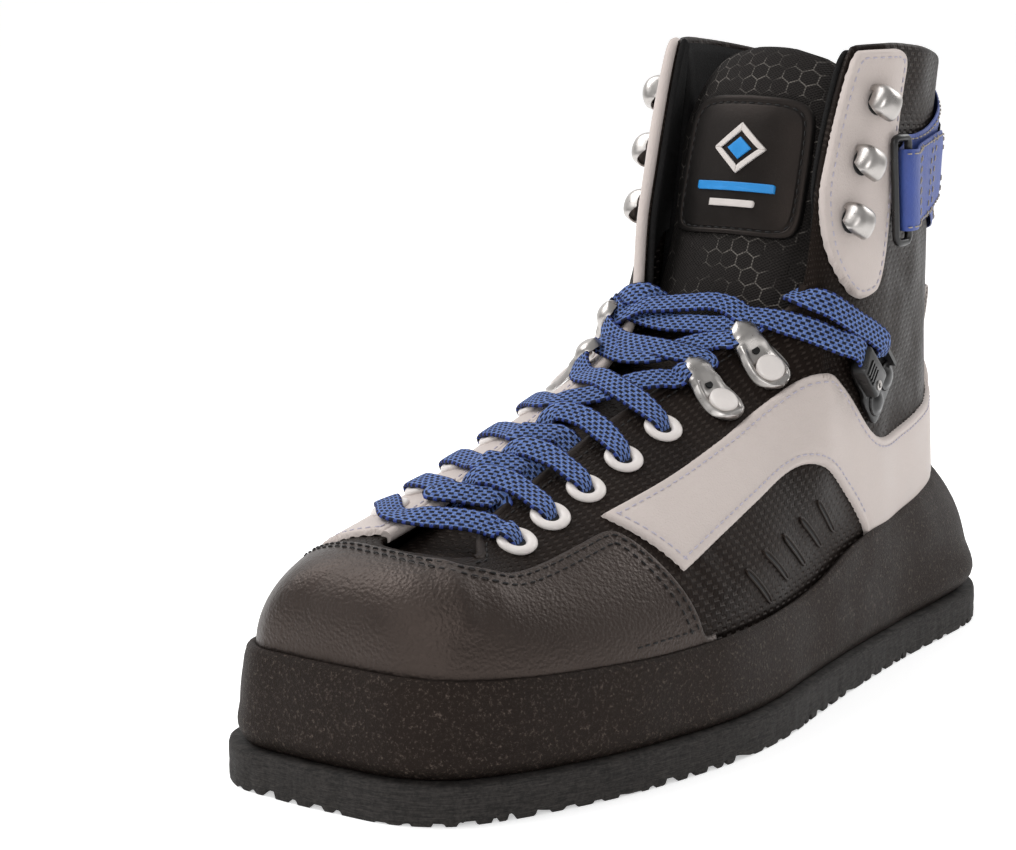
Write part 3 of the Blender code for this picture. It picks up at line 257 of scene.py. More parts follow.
def make_studio():
    scene = bpy.context.scene
    scene.view_settings.view_transform = "Standard"
    scene.world = bpy.data.worlds.new("studio")
    scene.world.use_nodes = True
    sky = Nodes(scene.world.node_tree)
    facing = sky.vectors("DOT_PRODUCT", sky.toward, BACKDROP)
    light = sky.spread(facing, *BACKDROP_COSINES, *BACKDROP_STRENGTHS)
    sky.feed(sky.tree.nodes["Background"], {"Strength": light, "Color": WHITE})
    for name, (at, toward, size, power) in LAMPS.items():
        lamp = bpy.data.lights.new(name, "AREA")
        lamp.size, lamp.energy = size, power
        set_looking(lamp, at, Vector(toward) - Vector(at))
    shaped = bmesh.new()
    bmesh.ops.create_grid(shaped, x_segments=1, y_segments=1, size=FLOOR_SIZE)
    mesh = bpy.data.meshes.new("floor")
    shaped.to_mesh(mesh)
    shaped.free()
    paint = Paint("floor_paint", FLOOR_ROUGHNESS)
    glow = {"Base Color": FLOOR_COLOUR, "Emission Color": WHITE, "Emission Strength": FLOOR_GLOW}
    paint.feed(paint.shader, glow)
    mesh.materials.append(paint.material)
    floor = bpy.data.objects.new("floor", mesh)
    scene.collection.objects.link(floor)


# The upper's function, as in the part's source


def unit(vectors):
    """Vectors brought to length 1."""
    return vectors / np.linalg.norm(vectors, axis=-1, keepdims=True)


def run_along(points):
    """Length of a line up to each of its points."""
    return np.concatenate([[0.0], np.cumsum(np.linalg.norm(np.diff(points, axis=0), axis=1))])


def flipped(point, turn):
    """A point of the outer side, or its like on the inner side where turn is -1."""
    return (point[0], turn * point[1], point[2])


def table(columns, rows):
    values = np.array(rows, float)
    return {name: values[:, k] for k, name in enumerate(columns)}


def three_point_slopes(knots, values):
    step = np.diff(knots)
    rise = np.diff(values) / step
    inner = (rise[:-1] * step[1:] + rise[1:] * step[:-1]) / (step[:-1] + step[1:])
    return np.concatenate([rise[:1], inner, rise[-1:]])


def steady_slopes(knots, values):
    step = np.diff(knots)
    rise = np.diff(values) / step
    before, after = rise[:-1], rise[1:]
    same_way = before * after > 0
    total = np.where(same_way, before + after, 1.0)
    inner = np.where(same_way, 2 * before * after / total, 0.0)
    return np.concatenate([rise[:1], inner, rise[-1:]])


def curve(knots, values, at, slopes=three_point_slopes):
    """Cubic through a table's values, read at the given places."""
    slope = slopes(knots, values)
    at = np.clip(np.asarray(at, float), knots[0], knots[-1])
    k = np.clip(np.searchsorted(knots, at, side="right") - 1, 0, len(knots) - 2)
    step = knots[k + 1] - knots[k]
    t = (at - knots[k]) / step
    near = values[k] * (1 + 2 * t) * (1 - t) ** 2 + slope[k] * step * t * (1 - t) ** 2
    far = values[k + 1] * t * t * (3 - 2 * t) + slope[k + 1] * step * t * t * (t - 1)
    return near + far


SECTION = table(SECTION_COLUMNS, SECTIONS)
SECTION_GAPS = np.hypot(
    np.diff(SECTION["sole_x"], append=SECTION["sole_x"][0]),
    np.diff(SECTION["sole_y"], append=SECTION["sole_y"][0]),
)
SECTION_PLACE = np.concatenate([[0.0], np.cumsum(SECTION_GAPS)])
PERIMETER = SECTION_PLACE[-1]
TOE = SECTION_PLACE[TOE_ROW]


def around(column, u, slopes):
    """A column of SECTIONS read at distance u round the sole."""
    values = SECTION[column]
    before = SECTION_PLACE[-4:-1] - PERIMETER
    after = SECTION_PLACE[:4] + PERIMETER
    knots = np.concatenate([before, SECTION_PLACE[:-1], after])
    values = np.concatenate([values[-3:], values, values[:4]])
    return curve(knots, values, np.mod(u, PERIMETER), slopes)


def sole_outline(u, inset):
    """Points of the sole's outline moved in by the inset, and the outward directions."""
    small = 0.5
    ahead, behind = u + small, u - small
    x = around("sole_x", u, three_point_slopes)
    y = around("sole_y", u, three_point_slopes)
    dx = around("sole_x", ahead, three_point_slopes) - around("sole_x", behind, three_point_slopes)
    dy = around("sole_y", ahead, three_point_slopes) - around("sole_y", behind, three_point_slopes)
    length = np.hypot(dx, dy)
    outward = np.stack([-dy / length, dx / length], axis=-1)
    return np.stack([x, y], axis=-1) - outward * np.asarray(inset)[..., None], outward


def rim_height(x):
    rim = np.array(RIM)
    return curve(rim[:, 0], rim[:, 1], x)


def upper_inset(u):
    return around("inset", u, steady_slopes)


def upper_middle(u, v):
    """Points of the upper's outer face: v runs from -1 at the bottom over 0 at the rim to 1 at the top line."""
    base, outward = sole_outline(u, upper_inset(u))
    rim = rim_height(base[..., 0])
    low = np.clip(v, -1.0, 0.0)
    t = np.clip(v, 0.0, 1.0)
    slope = np.radians(around("slope", u, steady_slopes))
    low_pull = around("low_pull", u, steady_slopes)
    top_pull = around("top_pull", u, steady_slopes)
    top = np.stack([around(name, u, steady_slopes) for name in ("top_x", "top_y", "top_z")], axis=-1)
    start = np.stack([base[..., 0], base[..., 1], rim], axis=-1)
    lean = np.stack([-outward[..., 0], -outward[..., 1], np.zeros_like(rim)], axis=-1)
    up = np.array([0.0, 0.0, 1.0])
    first = start + (up + BASE_LEAN * lean) * low_pull[..., None]
    arrive = lean * np.cos(slope)[..., None] + up * np.sin(slope)[..., None]
    second = top - arrive * top_pull[..., None]
    t = t[..., None]
    bend = start * (1 - t) ** 3 + first * 3 * t * (1 - t) ** 2
    bend += second * 3 * t * t * (1 - t) + top * t ** 3
    bend[..., 2] += low * (rim - FLOOR_Z - GAP)
    return bend


def skin_frame(u, v):
    """Point, outward normal, and the two derivatives of the upper's outer face."""
    u, v = np.broadcast_arrays(np.asarray(u, float), np.asarray(v, float))
    small_u, small_v = 0.4, 0.004
    above, below = np.minimum(v + small_v, 1.0), np.maximum(v - small_v, -1.0)
    along = (upper_middle(u + small_u, v) - upper_middle(u - small_u, v)) / (2 * small_u)
    rise = (upper_middle(u, above) - upper_middle(u, below)) / (above - below)[..., None]
    return upper_middle(u, v), unit(np.cross(rise, along)), along, rise


def skin(u, v, lift=0.0):
    """Points at a distance outside the upper's outer face."""
    point, normal, _, _ = skin_frame(u, v)
    return point + normal * np.asarray(lift, float)[..., None]


def section_places():
    places = []
    for k, gap in enumerate(SECTION_GAPS):
        steps = max(1, round(gap / COLUMN_STEP))
        for step in range(steps):
            places.append(SECTION_PLACE[k] + gap * step / steps)
    return np.array(places)


SOLE_POINTS, _ = sole_outline(section_places(), np.zeros(len(section_places())))
SHIFT = np.array([*(SOLE_POINTS.min(axis=0) + SOLE_POINTS.max(axis=0)) / 2, 0.0])


def row_frame(points):
    return (np.asarray(points, float) - SHIFT) * MM


def flat_table():
    """Distances over the leather round the shoe and up it, on a grid of places and shares."""
    u = np.linspace(0.0, PERIMETER, 301)
    v = np.linspace(-1.0, 1.0, 101)
    grid = upper_middle(*np.meshgrid(u, v, indexing="ij"))
    round_it = np.linalg.norm(np.diff(grid, axis=0), axis=-1)
    up_it = np.linalg.norm(np.diff(grid, axis=1), axis=-1)
    round_it = np.concatenate([np.zeros((1, len(v))), np.cumsum(round_it, axis=0)])
    up_it = np.concatenate([np.zeros((len(u), 1)), np.cumsum(up_it, axis=1)], axis=1)
    round_it = np.where(u[:, None] > TOE, round_it - round_it[-1:], round_it)
    return u, v, np.stack([round_it, up_it], axis=-1)


FLAT_U, FLAT_V, FLAT = flat_table()


def flat(u, v):
    """Distances over the leather at given places: round the shoe and up it."""
    a = np.clip(np.mod(u, PERIMETER) / PERIMETER * (len(FLAT_U) - 1), 0, len(FLAT_U) - 1.001)
    b = np.clip((np.asarray(v) + 1) / 2 * (len(FLAT_V) - 1), 0, len(FLAT_V) - 1.001)
    i, j = a.astype(int), b.astype(int)
    fa, fb = (a - i)[..., None], (b - j)[..., None]
    low = FLAT[i, j] * (1 - fa) + FLAT[i + 1, j] * fa
    high = FLAT[i, j + 1] * (1 - fa) + FLAT[i + 1, j + 1] * fa
    return low * (1 - fb) + high * fb


def share_at(u, z):
    """Share of the section at each place where it reaches a height."""
    u, z = np.broadcast_arrays(np.asarray(u, float), np.asarray(z, float))
    low, high = np.zeros(u.shape), np.ones(u.shape)
    for _ in range(24):
        middle = (low + high) / 2
        under = upper_middle(u, middle)[..., 2] < z
        low, high = np.where(under, middle, low), np.where(under, high, middle)
    return (low + high) / 2


def on_upper(u, z, lift):
    return skin(u, share_at(u, z), lift)


def nearest(point):
    """Place and share of the upper's face nearest to a point."""
    passes, finer = 5, 4
    step_u, step_v = 6.0, 0.025
    around_zero = np.linspace(-1.0, 1.0, 2 * finer + 1)
    u = np.arange(0.0, PERIMETER, step_u)
    v = np.arange(0.0, 1.0 + step_v, step_v)
    for _ in range(passes):
        grid = upper_middle(*np.meshgrid(u, v, indexing="ij"))
        far = np.linalg.norm(grid - np.asarray(point), axis=-1)
        i, j = np.unravel_index(far.argmin(), far.shape)
        u = u[i] + step_u * around_zero
        v = np.clip(v[j] + step_v * around_zero, 0.0, 1.0)
        step_u /= finer
        step_v /= finer
    return u[finer], v[finer]


# Reach of find(): its lowest share, the spacing of its first guesses, and the longest step it takes
FIND_LOWEST = -0.3
FIND_SPACING = 3.0
FIND_SHARES = 66
FIND_STEP_U, FIND_STEP_V = 3.0, 0.04


def find(targets, axes, first, last):
    """Places and shares where the face shows given coordinates along two axes."""
    targets = np.asarray(targets, float)
    u = np.arange(first, last, FIND_SPACING)
    v = np.linspace(FIND_LOWEST, 1.0, FIND_SHARES)
    grid_u, grid_v = np.meshgrid(u, v, indexing="ij")
    seen = upper_middle(grid_u, grid_v)[..., axes].reshape(-1, 2)
    near = np.array([((seen - t) ** 2).sum(axis=1).argmin() for t in targets])
    u, v = grid_u.ravel()[near], grid_v.ravel()[near]
    for _ in range(10):
        point, _, along, rise = skin_frame(u, v)
        miss = targets - point[:, axes]
        a, b = along[:, axes], rise[:, axes]
        det = a[:, 0] * b[:, 1] - a[:, 1] * b[:, 0]
        det = np.where(abs(det) < 1e-3, 1e-3, det)
        du = (miss[:, 0] * b[:, 1] - miss[:, 1] * b[:, 0]) / det
        dv = (a[:, 0] * miss[:, 1] - a[:, 1] * miss[:, 0]) / det
        u = np.clip(u + np.clip(du, -FIND_STEP_U, FIND_STEP_U), first, last)
        v = np.clip(v + np.clip(dv, -FIND_STEP_V, FIND_STEP_V), FIND_LOWEST, 1.0)
    return np.stack([u, v], axis=-1)


def mirrored(point):
    return (point[0], 2 * THROAT_MIDDLE - point[1], point[2])


def standing(point, toward, lift):
    """Placing, in the frame of the last, of a piece on the upper: x along a direction, z away from the leather."""
    foot, normal, _, _ = skin_frame(*nearest(point))
    along = np.asarray(toward, float)
    along = unit(along - normal * along.dot(normal))
    turn = np.stack([along, np.cross(normal, along), normal], axis=-1)
    return foot + normal * lift, turn


def set_at(points, place):
    """Local points of a piece moved to its placing."""
    foot, turn = place
    return np.asarray(points, float) @ turn.T + foot


def moved(place, by):
    """A placing moved by local distances."""
    return place[0] + place[1] @ np.array(by), place[1]


# Mesh helpers


def grid_faces(rows, columns, wrap_rows=False, wrap_columns=False):
    a = np.arange(rows if wrap_rows else rows - 1)[:, None]
    b = np.arange(columns if wrap_columns else columns - 1)[None, :]
    c, d = (a + 1) % rows, (b + 1) % columns
    quads = [a * columns + b, a * columns + d, c * columns + d, c * columns + b]
    return [tuple(face) for face in np.stack(quads, axis=-1).reshape(-1, 4).tolist()]


class Shape:
    """Points, faces and surface distances of one piece, gathered before its mesh is made."""

    def __init__(self):
        self.points, self.faces, self.flat, self.slots = [], [], [], []
        self.count = 0

    def add(self, points, faces, flat_at=None, slot=0):
        points = np.asarray(points, float).reshape(-1, 3)
        self.points.append(points)
        self.faces += [tuple(k + self.count for k in face) for face in faces]
        self.slots += [slot] * len(faces)
        empty = np.zeros((len(points), 2))
        self.flat.append(empty if flat_at is None else np.asarray(flat_at, float).reshape(-1, 2))
        self.count += len(points)

    def piece(self, name, materials, slot, nodes=(), crisp=40.0, closed=True):
        mesh = bpy.data.meshes.new(name)
        mesh.from_pydata(row_frame(np.concatenate(self.points)).tolist(), [], self.faces)
        for each in materials if isinstance(materials, (list, tuple)) else [materials]:
            mesh.materials.append(each)
        mesh.polygons.foreach_set("material_index", self.slots)
        layer = mesh.uv_layers.new(name="flat")
        corner = np.empty(len(mesh.loops), int)
        mesh.loops.foreach_get("vertex_index", corner)
        layer.data.foreach_set("uv", np.concatenate(self.flat)[corner].ravel())
        if closed:
            shaped = bmesh.new()
            shaped.from_mesh(mesh)
            bmesh.ops.recalc_face_normals(shaped, faces=shaped.faces)
            shaped.to_mesh(mesh)
            shaped.free()
        mesh.shade_smooth()
        mesh.set_sharp_from_angle(angle=math.radians(crisp))
        made = bpy.data.objects.new(name, mesh)
        bpy.context.scene.collection.objects.link(made)
        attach(made, "root")
        if nodes:
            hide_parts(*nodes)
        return made


def rings(shape, lines, flat_at=None, cap=True, slot=0):
    """A skin through closed lines of equal length, with ends."""
    lines = np.asarray(lines, float)
    rows, columns, _ = lines.shape
    faces = grid_faces(rows, columns, wrap_columns=True)
    if cap:
        faces.append(tuple(range(columns)))
        faces.append(tuple(range((rows - 1) * columns, rows * columns)))
    shape.add(lines, faces, flat_at, slot)


def turned(shape, profile, place, steps):
    """A turned piece: a profile of radius and height swept round its axis."""
    angle = np.linspace(0.0, 2 * math.pi, steps, endpoint=False)
    lines = []
    for radius, height in profile:
        local = np.stack([radius * np.cos(angle), radius * np.sin(angle), np.full(steps, height)], axis=-1)
        lines.append(set_at(local, place))
    rings(shape, lines, cap=profile[0] != profile[-1])


# A direction that no wire here runs along
ASIDE = np.array([0.13, 0.31, 0.94])


def tube(shape, path, radius, sides, closed=False, slot=0):
    """A round wire along a path."""
    path = np.asarray(path, float)
    if closed:
        ahead = unit(np.roll(path, -1, axis=0) - np.roll(path, 1, axis=0))
    else:
        ahead = unit(np.gradient(path, axis=0))
    side = unit(np.cross(ahead, ASIDE))
    up = np.cross(side, ahead)
    angle = np.linspace(0.0, 2 * math.pi, sides, endpoint=False)
    circle = np.cos(angle)[None, :, None] * side[:, None] + np.sin(angle)[None, :, None] * up[:, None]
    lines = path[:, None] + radius * circle
    faces = grid_faces(len(path), sides, wrap_rows=closed, wrap_columns=True)
    if not closed:
        faces.append(tuple(range(sides)))
        faces.append(tuple(range((len(path) - 1) * sides, len(path) * sides)))
    shape.add(lines, faces, slot=slot)


CORNER_SHARES = np.linspace(0.0, 1.0, 7)


def soften(points, radius, closed=False):
    """A polyline with rounded corners."""
    points = np.asarray(points, float)
    count = len(points)
    radius = np.broadcast_to(np.asarray(radius, float), count)
    out = []
    for k, corner in enumerate(points):
        if not closed and k in (0, count - 1):
            out.append(corner)
            continue
        back = points[k - 1] - corner
        ahead = points[(k + 1) % count] - corner
        start = corner + back * min(0.5, radius[k] / np.linalg.norm(back))
        end = corner + ahead * min(0.5, radius[k] / np.linalg.norm(ahead))
        for t in CORNER_SHARES:
            out.append(start * (1 - t) ** 2 + corner * 2 * t * (1 - t) + end * t * t)
    return np.array(out)


def resample(points, spacing, closed=False, measure=None):
    """Points at even spacing along a line, measured on the points or on another set of coordinates."""
    points = np.asarray(points, float)
    measure = points if measure is None else np.asarray(measure, float)
    if closed:
        points = np.concatenate([points, points[:1]])
        measure = np.concatenate([measure, measure[:1]])
    step = np.linalg.norm(np.diff(measure, axis=0), axis=1)
    keep = np.concatenate([[True], step > 1e-6])
    points, run = points[keep], run_along(measure[keep])
    count = max(2, int(round(run[-1] / spacing)))
    at = np.linspace(0.0, run[-1], count + 1)
    if closed:
        at = at[:-1]
    return np.stack([np.interp(at, run, points[:, k]) for k in range(points.shape[1])], axis=-1)


def line_tree(points):
    tree = kdtree.KDTree(len(points))
    for k, point in enumerate(points):
        tree.insert(point, k)
    tree.balance()
    return tree


def inside(points, outline):
    """True for the points inside a closed outline."""
    x, y = points[:, 0], points[:, 1]
    result = np.zeros(len(points), bool)
    for a, b in zip(outline, np.roll(outline, -1, axis=0)):
        if a[1] == b[1]:
            continue
        across = (a[1] > y) != (b[1] > y)
        result ^= across & (x < (b[0] - a[0]) * (y - a[1]) / (b[1] - a[1]) + a[0])
    return result


# Stitches: short threads sunk in the leather


class Stitches:
    """Threads of one colour, gathered from the seams that are sewn with it."""

    radius = 0.24
    # Rings of a stitch: share of its length, share of its radius, height over the seam
    profile = ((-0.5, 0.45, -0.3), (-0.3, 1.0, 0.05), (0.3, 1.0, 0.05), (0.5, 0.45, -0.3))

    def __init__(self, length=2.0, spacing=2.9):
        self.shape = Shape()
        self.length, self.spacing = length, spacing

    def along(self, points, normals):
        """Stitches along a line of points with the leather's normals."""
        both = resample(np.concatenate([points, normals], axis=1), self.spacing, measure=points)
        points, normals = both[:, :3], unit(both[:, 3:])
        ahead = unit(np.gradient(points, axis=0))
        side = np.cross(normals, ahead)
        angle = np.linspace(0.0, 2 * math.pi, 6, endpoint=False)
        for p, a, n, s in zip(points, ahead, normals, side):
            circle = np.cos(angle)[:, None] * s + np.sin(angle)[:, None] * n
            rings(self.shape, [
                p + a * self.length * at + n * sink + circle * self.radius * size for at, size, sink in self.profile
            ])


LIGHT_THREAD = Stitches()
DARK_THREAD = Stitches()
BEIGE_THREAD = Stitches(length=2.3, spacing=3.4)


# Leather laid on the upper: a region of the face with rounded, stitched edges


# Spacing of the points along a sheet's outline, and of the finer line that distances are measured to
OUTLINE_SPACING = 1.1
MEASURE_SPACING = 0.25
# A sheet's rows of points next to its edge, where its inner points start, and the shares that keep rows apart
EDGE_ROWS = (0.15, 0.4, 0.75, 1.15, 1.8, 2.6, 3.5)
INNER_START = 4.3
ROW_KEEP, SEAM_KEEP = 0.88, 0.85
# About the length in mm of a section from the rim to the top line, for the flat layout and for its rows
STRETCH, ROW_STRETCH = 100.0, 90.0
# How far a sheet's edge is sunk under its base, and the groove that its seam presses in
SUNK = 0.9
GROOVE_DEPTH, GROOVE_WIDTH = 0.28, 0.7
THREAD_LIFT = 0.12
SHORTEST_SEAM = 4


def region(outline):
    """An outline of places and shares, at even spacing over the leather."""
    outline = np.asarray(outline, float)
    return resample(outline, OUTLINE_SPACING, True, skin(outline[:, 0], outline[:, 1]))


def inset_line(outline, distance):
    """The outline moved inwards over the leather."""
    point, normal, along, rise = skin_frame(outline[:, 0], outline[:, 1])
    ahead = np.roll(point, -1, axis=0) - np.roll(point, 1, axis=0)
    turn = np.roll(outline, -1, axis=0)
    area = (outline[:, 0] * turn[:, 1] - turn[:, 0] * outline[:, 1]).sum()
    inward = unit(-np.cross(normal, ahead) * np.sign(area))
    uu, vv, uv = (along * along).sum(1), (rise * rise).sum(1), (along * rise).sum(1)
    a, b = (inward * along).sum(1), (inward * rise).sum(1)
    det = uu * vv - uv * uv
    return outline + distance * np.stack([(a * vv - b * uv) / det, (b * uu - a * uv) / det], axis=-1)


def edge_distance(outline):
    """A function that gives the distance of points from an outline on the leather."""
    tree = line_tree(resample(skin(outline[:, 0], outline[:, 1]), MEASURE_SPACING, True))
    return lambda points: np.array([tree.find(p)[2] for p in points])


def laid(shape, outline, base, thickness, edge=1.1, groove=2.6, spacing=2.4, relief=None):
    """A leather sheet over a region of the upper; returns its height over the face at a distance from the edge."""
    measured = edge_distance(outline)

    def to_edge(places):
        return measured(skin(places[:, 0], places[:, 1]))

    def height(distance):
        t = np.clip(distance / edge, 0.0, 1.0)
        rise = np.sqrt(np.clip(1 - (1 - t) ** 2, 0.0, 1.0))
        sewn = GROOVE_DEPTH * np.exp(-((distance - groove) / GROOVE_WIDTH) ** 2)
        return base - SUNK + (thickness + SUNK) * rise - sewn

    places = []
    for distance in EDGE_ROWS:
        line = inset_line(outline, distance)
        line = line[inside(line, outline)]
        if len(line):
            places.append(line[to_edge(line) > ROW_KEEP * distance])
    low, high = outline.min(axis=0), outline.max(axis=0)
    rows = np.arange(low[1], high[1], spacing / ROW_STRETCH)
    grid = np.stack(np.meshgrid(np.arange(low[0], high[0], spacing), rows), axis=-1)
    grid[1::2, :, 0] += spacing / 2
    grid = grid.reshape(-1, 2)
    grid = grid[inside(grid, outline)]
    places.append(grid[to_edge(grid) > INNER_START])
    flat_points = [Vector((u, v * STRETCH)) for u, v in np.concatenate([outline] + places)]
    count = len(outline)
    edges = [(k, (k + 1) % count) for k in range(count)]
    corners, _, faces, _, _, _ = geometry.delaunay_2d_cdt(flat_points, edges, [], 1, 1e-5)
    corners = np.array([(c[0], c[1] / STRETCH) for c in corners])
    lift = height(to_edge(corners))
    if relief is not None:
        lift = lift + relief(corners[:, 0], corners[:, 1])
    points = skin(corners[:, 0], corners[:, 1], lift)
    shape.add(points, [tuple(face[::-1]) for face in faces], flat(corners[:, 0], corners[:, 1]))
    return height


def sew(thread, outline, distance, height, keep=None):
    """Stitches along the edge of a laid sheet."""
    line = inset_line(outline, distance)
    where, normal, _, _ = skin_frame(line[:, 0], line[:, 1])
    good = edge_distance(outline)(where) > SEAM_KEEP * distance
    if keep is not None:
        good &= keep(line[:, 0], line[:, 1])
    lift = float(height(np.array([distance]))[0]) + THREAD_LIFT
    for start, end in runs(good):
        if end - start > SHORTEST_SEAM:
            thread.along((where + normal * lift)[start:end], normal[start:end])


def runs(good):
    """Starts and ends of the runs of True along a line."""
    spans, start = [], None
    for k, value in enumerate([*good, False]):
        if value and start is None:
            start = k
        if not value and start is not None:
            spans.append((start, k))
            start = None
    return spans


# Materials

WARM = (1.0, 0.78, 0.68, 1.0)
WHITE = (1.0, 1.0, 1.0, 1.0)
# The range that smooth noise mostly fills
MIDDLE = (0.3, 0.7)
# Half of the square root of 3
HEXAGON = 0.866


def shade(colour, by):
    return tuple(c * by for c in colour)


class Nodes:
    """Nodes of one shader tree. Their inputs take sockets or plain values."""

    def __init__(self, tree):
        self.tree = tree
        places = tree.nodes.new("ShaderNodeTexCoord").outputs
        self.where, self.spot, self.toward = places["Object"], places["UV"], places["Generated"]

    def feed(self, node, inputs):
        for key, value in inputs.items():
            if isinstance(value, bpy.types.NodeSocket):
                self.tree.links.new(value, node.inputs[key])
            else:
                node.inputs[key].default_value = value

    def node(self, kind, inputs, **settings):
        made = self.tree.nodes.new(f"ShaderNode{kind}")
        for key, value in settings.items():
            setattr(made, key, value)
        self.feed(made, inputs)
        return made

    def sums(self, operation, *values):
        """A math node on sockets and numbers."""
        return self.node("Math", dict(enumerate(values)), operation=operation).outputs[0]

    def add(self, first, second):
        return self.sums("ADD", first, second)

    def times(self, first, second):
        return self.sums("MULTIPLY", first, second)

    def vectors(self, operation, *values):
        """A vector math node on sockets and triples."""
        made = self.node("VectorMath", dict(enumerate(values)), operation=operation)
        return made.outputs["Value" if operation == "DOT_PRODUCT" else "Vector"]

    def split(self, vector):
        return self.node("SeparateXYZ", {0: vector}).outputs

    def spread(self, value, low, high, start=0.0, end=1.0):
        """A value's range drawn out to another, with soft ends."""
        inputs = {"Value": value, "From Min": low, "From Max": high, "To Min": start, "To Max": end}
        return self.node("MapRange", inputs, interpolation_type="SMOOTHSTEP").outputs["Result"]

    def mixed(self, share, first, second):
        """A colour between two, each a colour or a socket."""
        first, second = ((*c, 1.0) if isinstance(c, tuple) else c for c in (first, second))
        return self.node("Mix", {"Factor": share, 6: first, 7: second}, data_type="RGBA").outputs[2]

    def noise(self, scale, detail=3.0, roughness=0.55, where=None):
        place = self.where if where is None else where
        inputs = {"Scale": scale, "Detail": detail, "Roughness": roughness, "Vector": place}
        return self.node("TexNoise", inputs).outputs["Fac"]

    def cells(self, scale):
        """Distance from the middle of small uneven cells."""
        inputs = {"Scale": scale, "Vector": self.where}
        return self.node("TexVoronoi", inputs, feature="SMOOTH_F1").outputs["Distance"]

    def staggered(self, where, pitch, half, soft):
        """1 inside small dashes set in staggered rows, 0 outside."""
        x, y = pitch[0] / 2, pitch[1] / 2
        found = []
        for shift in ((0.0, 0.0, 0.0), (x, y, 0.0)):
            cell = self.vectors("WRAP", self.vectors("ADD", where, shift), (x, y, 1.0), (-x, -y, -1.0))
            over = self.split(self.vectors("SUBTRACT", self.vectors("ABSOLUTE", cell), (*half, 0.0)))
            found.append(self.sums("MAXIMUM", over[0], over[1]))
        return self.spread(self.sums("MINIMUM", *found), soft, -soft)

    def honeycomb(self, size):
        """Distance from the middle of hexagon cells, 0 to 0.5 at their edges."""
        half, low = (0.5, HEXAGON, 0.5), (-0.5, -HEXAGON, -0.5)
        scaled = self.vectors("MULTIPLY", self.spot, (1 / size, 1 / size, 0.0))
        found = []
        for start in (scaled, self.vectors("ADD", scaled, half)):
            cell = self.split(self.vectors("ABSOLUTE", self.vectors("WRAP", start, half, low)))
            slanted = self.add(self.times(cell[0], 0.5), self.times(cell[1], HEXAGON))
            found.append(self.sums("MAXIMUM", cell[0], slanted))
        return self.sums("MINIMUM", *found)


class Paint(Nodes):
    """A material and the nodes that feed its shader. Depths of its relief are in mm."""

    def __init__(self, name, roughness, gloss=0.5, tint=WHITE, metallic=0.0):
        self.material = bpy.data.materials.new(name)
        self.material.use_nodes = True
        super().__init__(self.material.node_tree)
        self.shader = self.tree.nodes["Principled BSDF"]
        self.roughness = roughness
        inputs = {"Roughness": roughness, "Metallic": metallic, "Specular IOR Level": gloss, "Specular Tint": tint}
        self.feed(self.shader, inputs)

    def colour(self, share, first, second):
        self.feed(self.shader, {"Base Color": self.mixed(share, first, second)})

    def uneven(self, value, less, more, low=MIDDLE[0], high=MIDDLE[1]):
        """Roughness that follows a value, from a little less than the material's own to a little more."""
        rough = self.spread(value, low, high, self.roughness - less, self.roughness + more)
        self.feed(self.shader, {"Roughness": rough})

    def bump(self, height, depth, strength=1.0):
        made = self.node("Bump", {"Strength": strength, "Distance": depth * MM, "Height": height})
        self.feed(self.shader, {"Normal": made.outputs["Normal"]})


def leather(name, colour, grain, depth, roughness, darker=0.12, gloss=0.5):
    """Grained leather: cells of a size in mm and fine pores, with uneven colour and gloss."""
    look = Paint(name, roughness, gloss, WARM)
    soft = look.noise(60.0)
    look.colour(look.spread(soft, *MIDDLE), shade(colour, 1 - darker), colour)
    look.uneven(soft, 0.06, 0.08, 0.25, 0.75)
    look.bump(look.add(look.cells(1000.0 / grain), look.times(look.noise(2600.0, 2.0), 0.5)), depth, 0.9)
    return look.material


def dashed_leather(name, colour, dash):
    """Black leather embossed with staggered small dashes."""
    look = Paint(name, 0.48, 0.12, WARM)
    mark = look.staggered(look.spot, (4.3, 3.4), (0.95, 0.36), 0.25)
    soft = look.noise(55.0)
    base = look.mixed(look.spread(soft, *MIDDLE), shade(colour, 0.75), shade(colour, 1.3))
    look.colour(look.times(mark, look.spread(soft, *MIDDLE, 0.4, 0.9)), base, dash)
    look.uneven(soft, 0.08, 0.08)
    look.bump(look.add(look.times(look.cells(1300.0), 0.25), look.times(mark, -0.7)), 0.4)
    return look.material


def mesh_fabric(name, colour, line, cell):
    """Padded mesh fabric with a thin honeycomb that comes and goes."""
    look = Paint(name, 0.9, 0.2)
    edge = look.spread(look.honeycomb(cell), 0.445, 0.485)
    patchy = look.spread(look.noise(75.0), 0.45, 0.62)
    weave = look.staggered(look.spot, (1.3, 1.0), (0.4, 0.26), 0.2)
    lines = look.times(look.times(edge, patchy), look.spread(weave, 0.0, 1.0, 0.35, 1.0))
    base = look.mixed(look.times(weave, 0.4), colour, shade(colour, 4.5))
    look.colour(look.times(lines, 0.7), base, line)
    look.bump(look.add(look.times(weave, 0.5), look.times(edge, -0.4)), 0.4)
    return look.material


def felt(name, colour):
    look = Paint(name, 0.95, 0.2)
    fuzz = look.noise(1400.0, 4.0, 0.7)
    look.colour(fuzz, shade(colour, 0.5), shade(colour, 1.7))
    look.bump(fuzz, 0.5)
    return look.material


def speckled(name, colour, speck, amount, roughness, depth):
    """Moulded rubber with a sandy speckle."""
    look = Paint(name, roughness, 0.2, WARM)
    sand, broad = look.noise(1000.0, 4.0, 0.8), look.noise(38.0)
    base = look.mixed(look.spread(broad, *MIDDLE), shade(colour, 0.75), shade(colour, 1.25))
    look.colour(look.times(look.spread(sand, 0.52, 0.72), amount), base, speck)
    look.uneven(broad, 0.08, 0.08)
    look.bump(sand, depth)
    return look.material


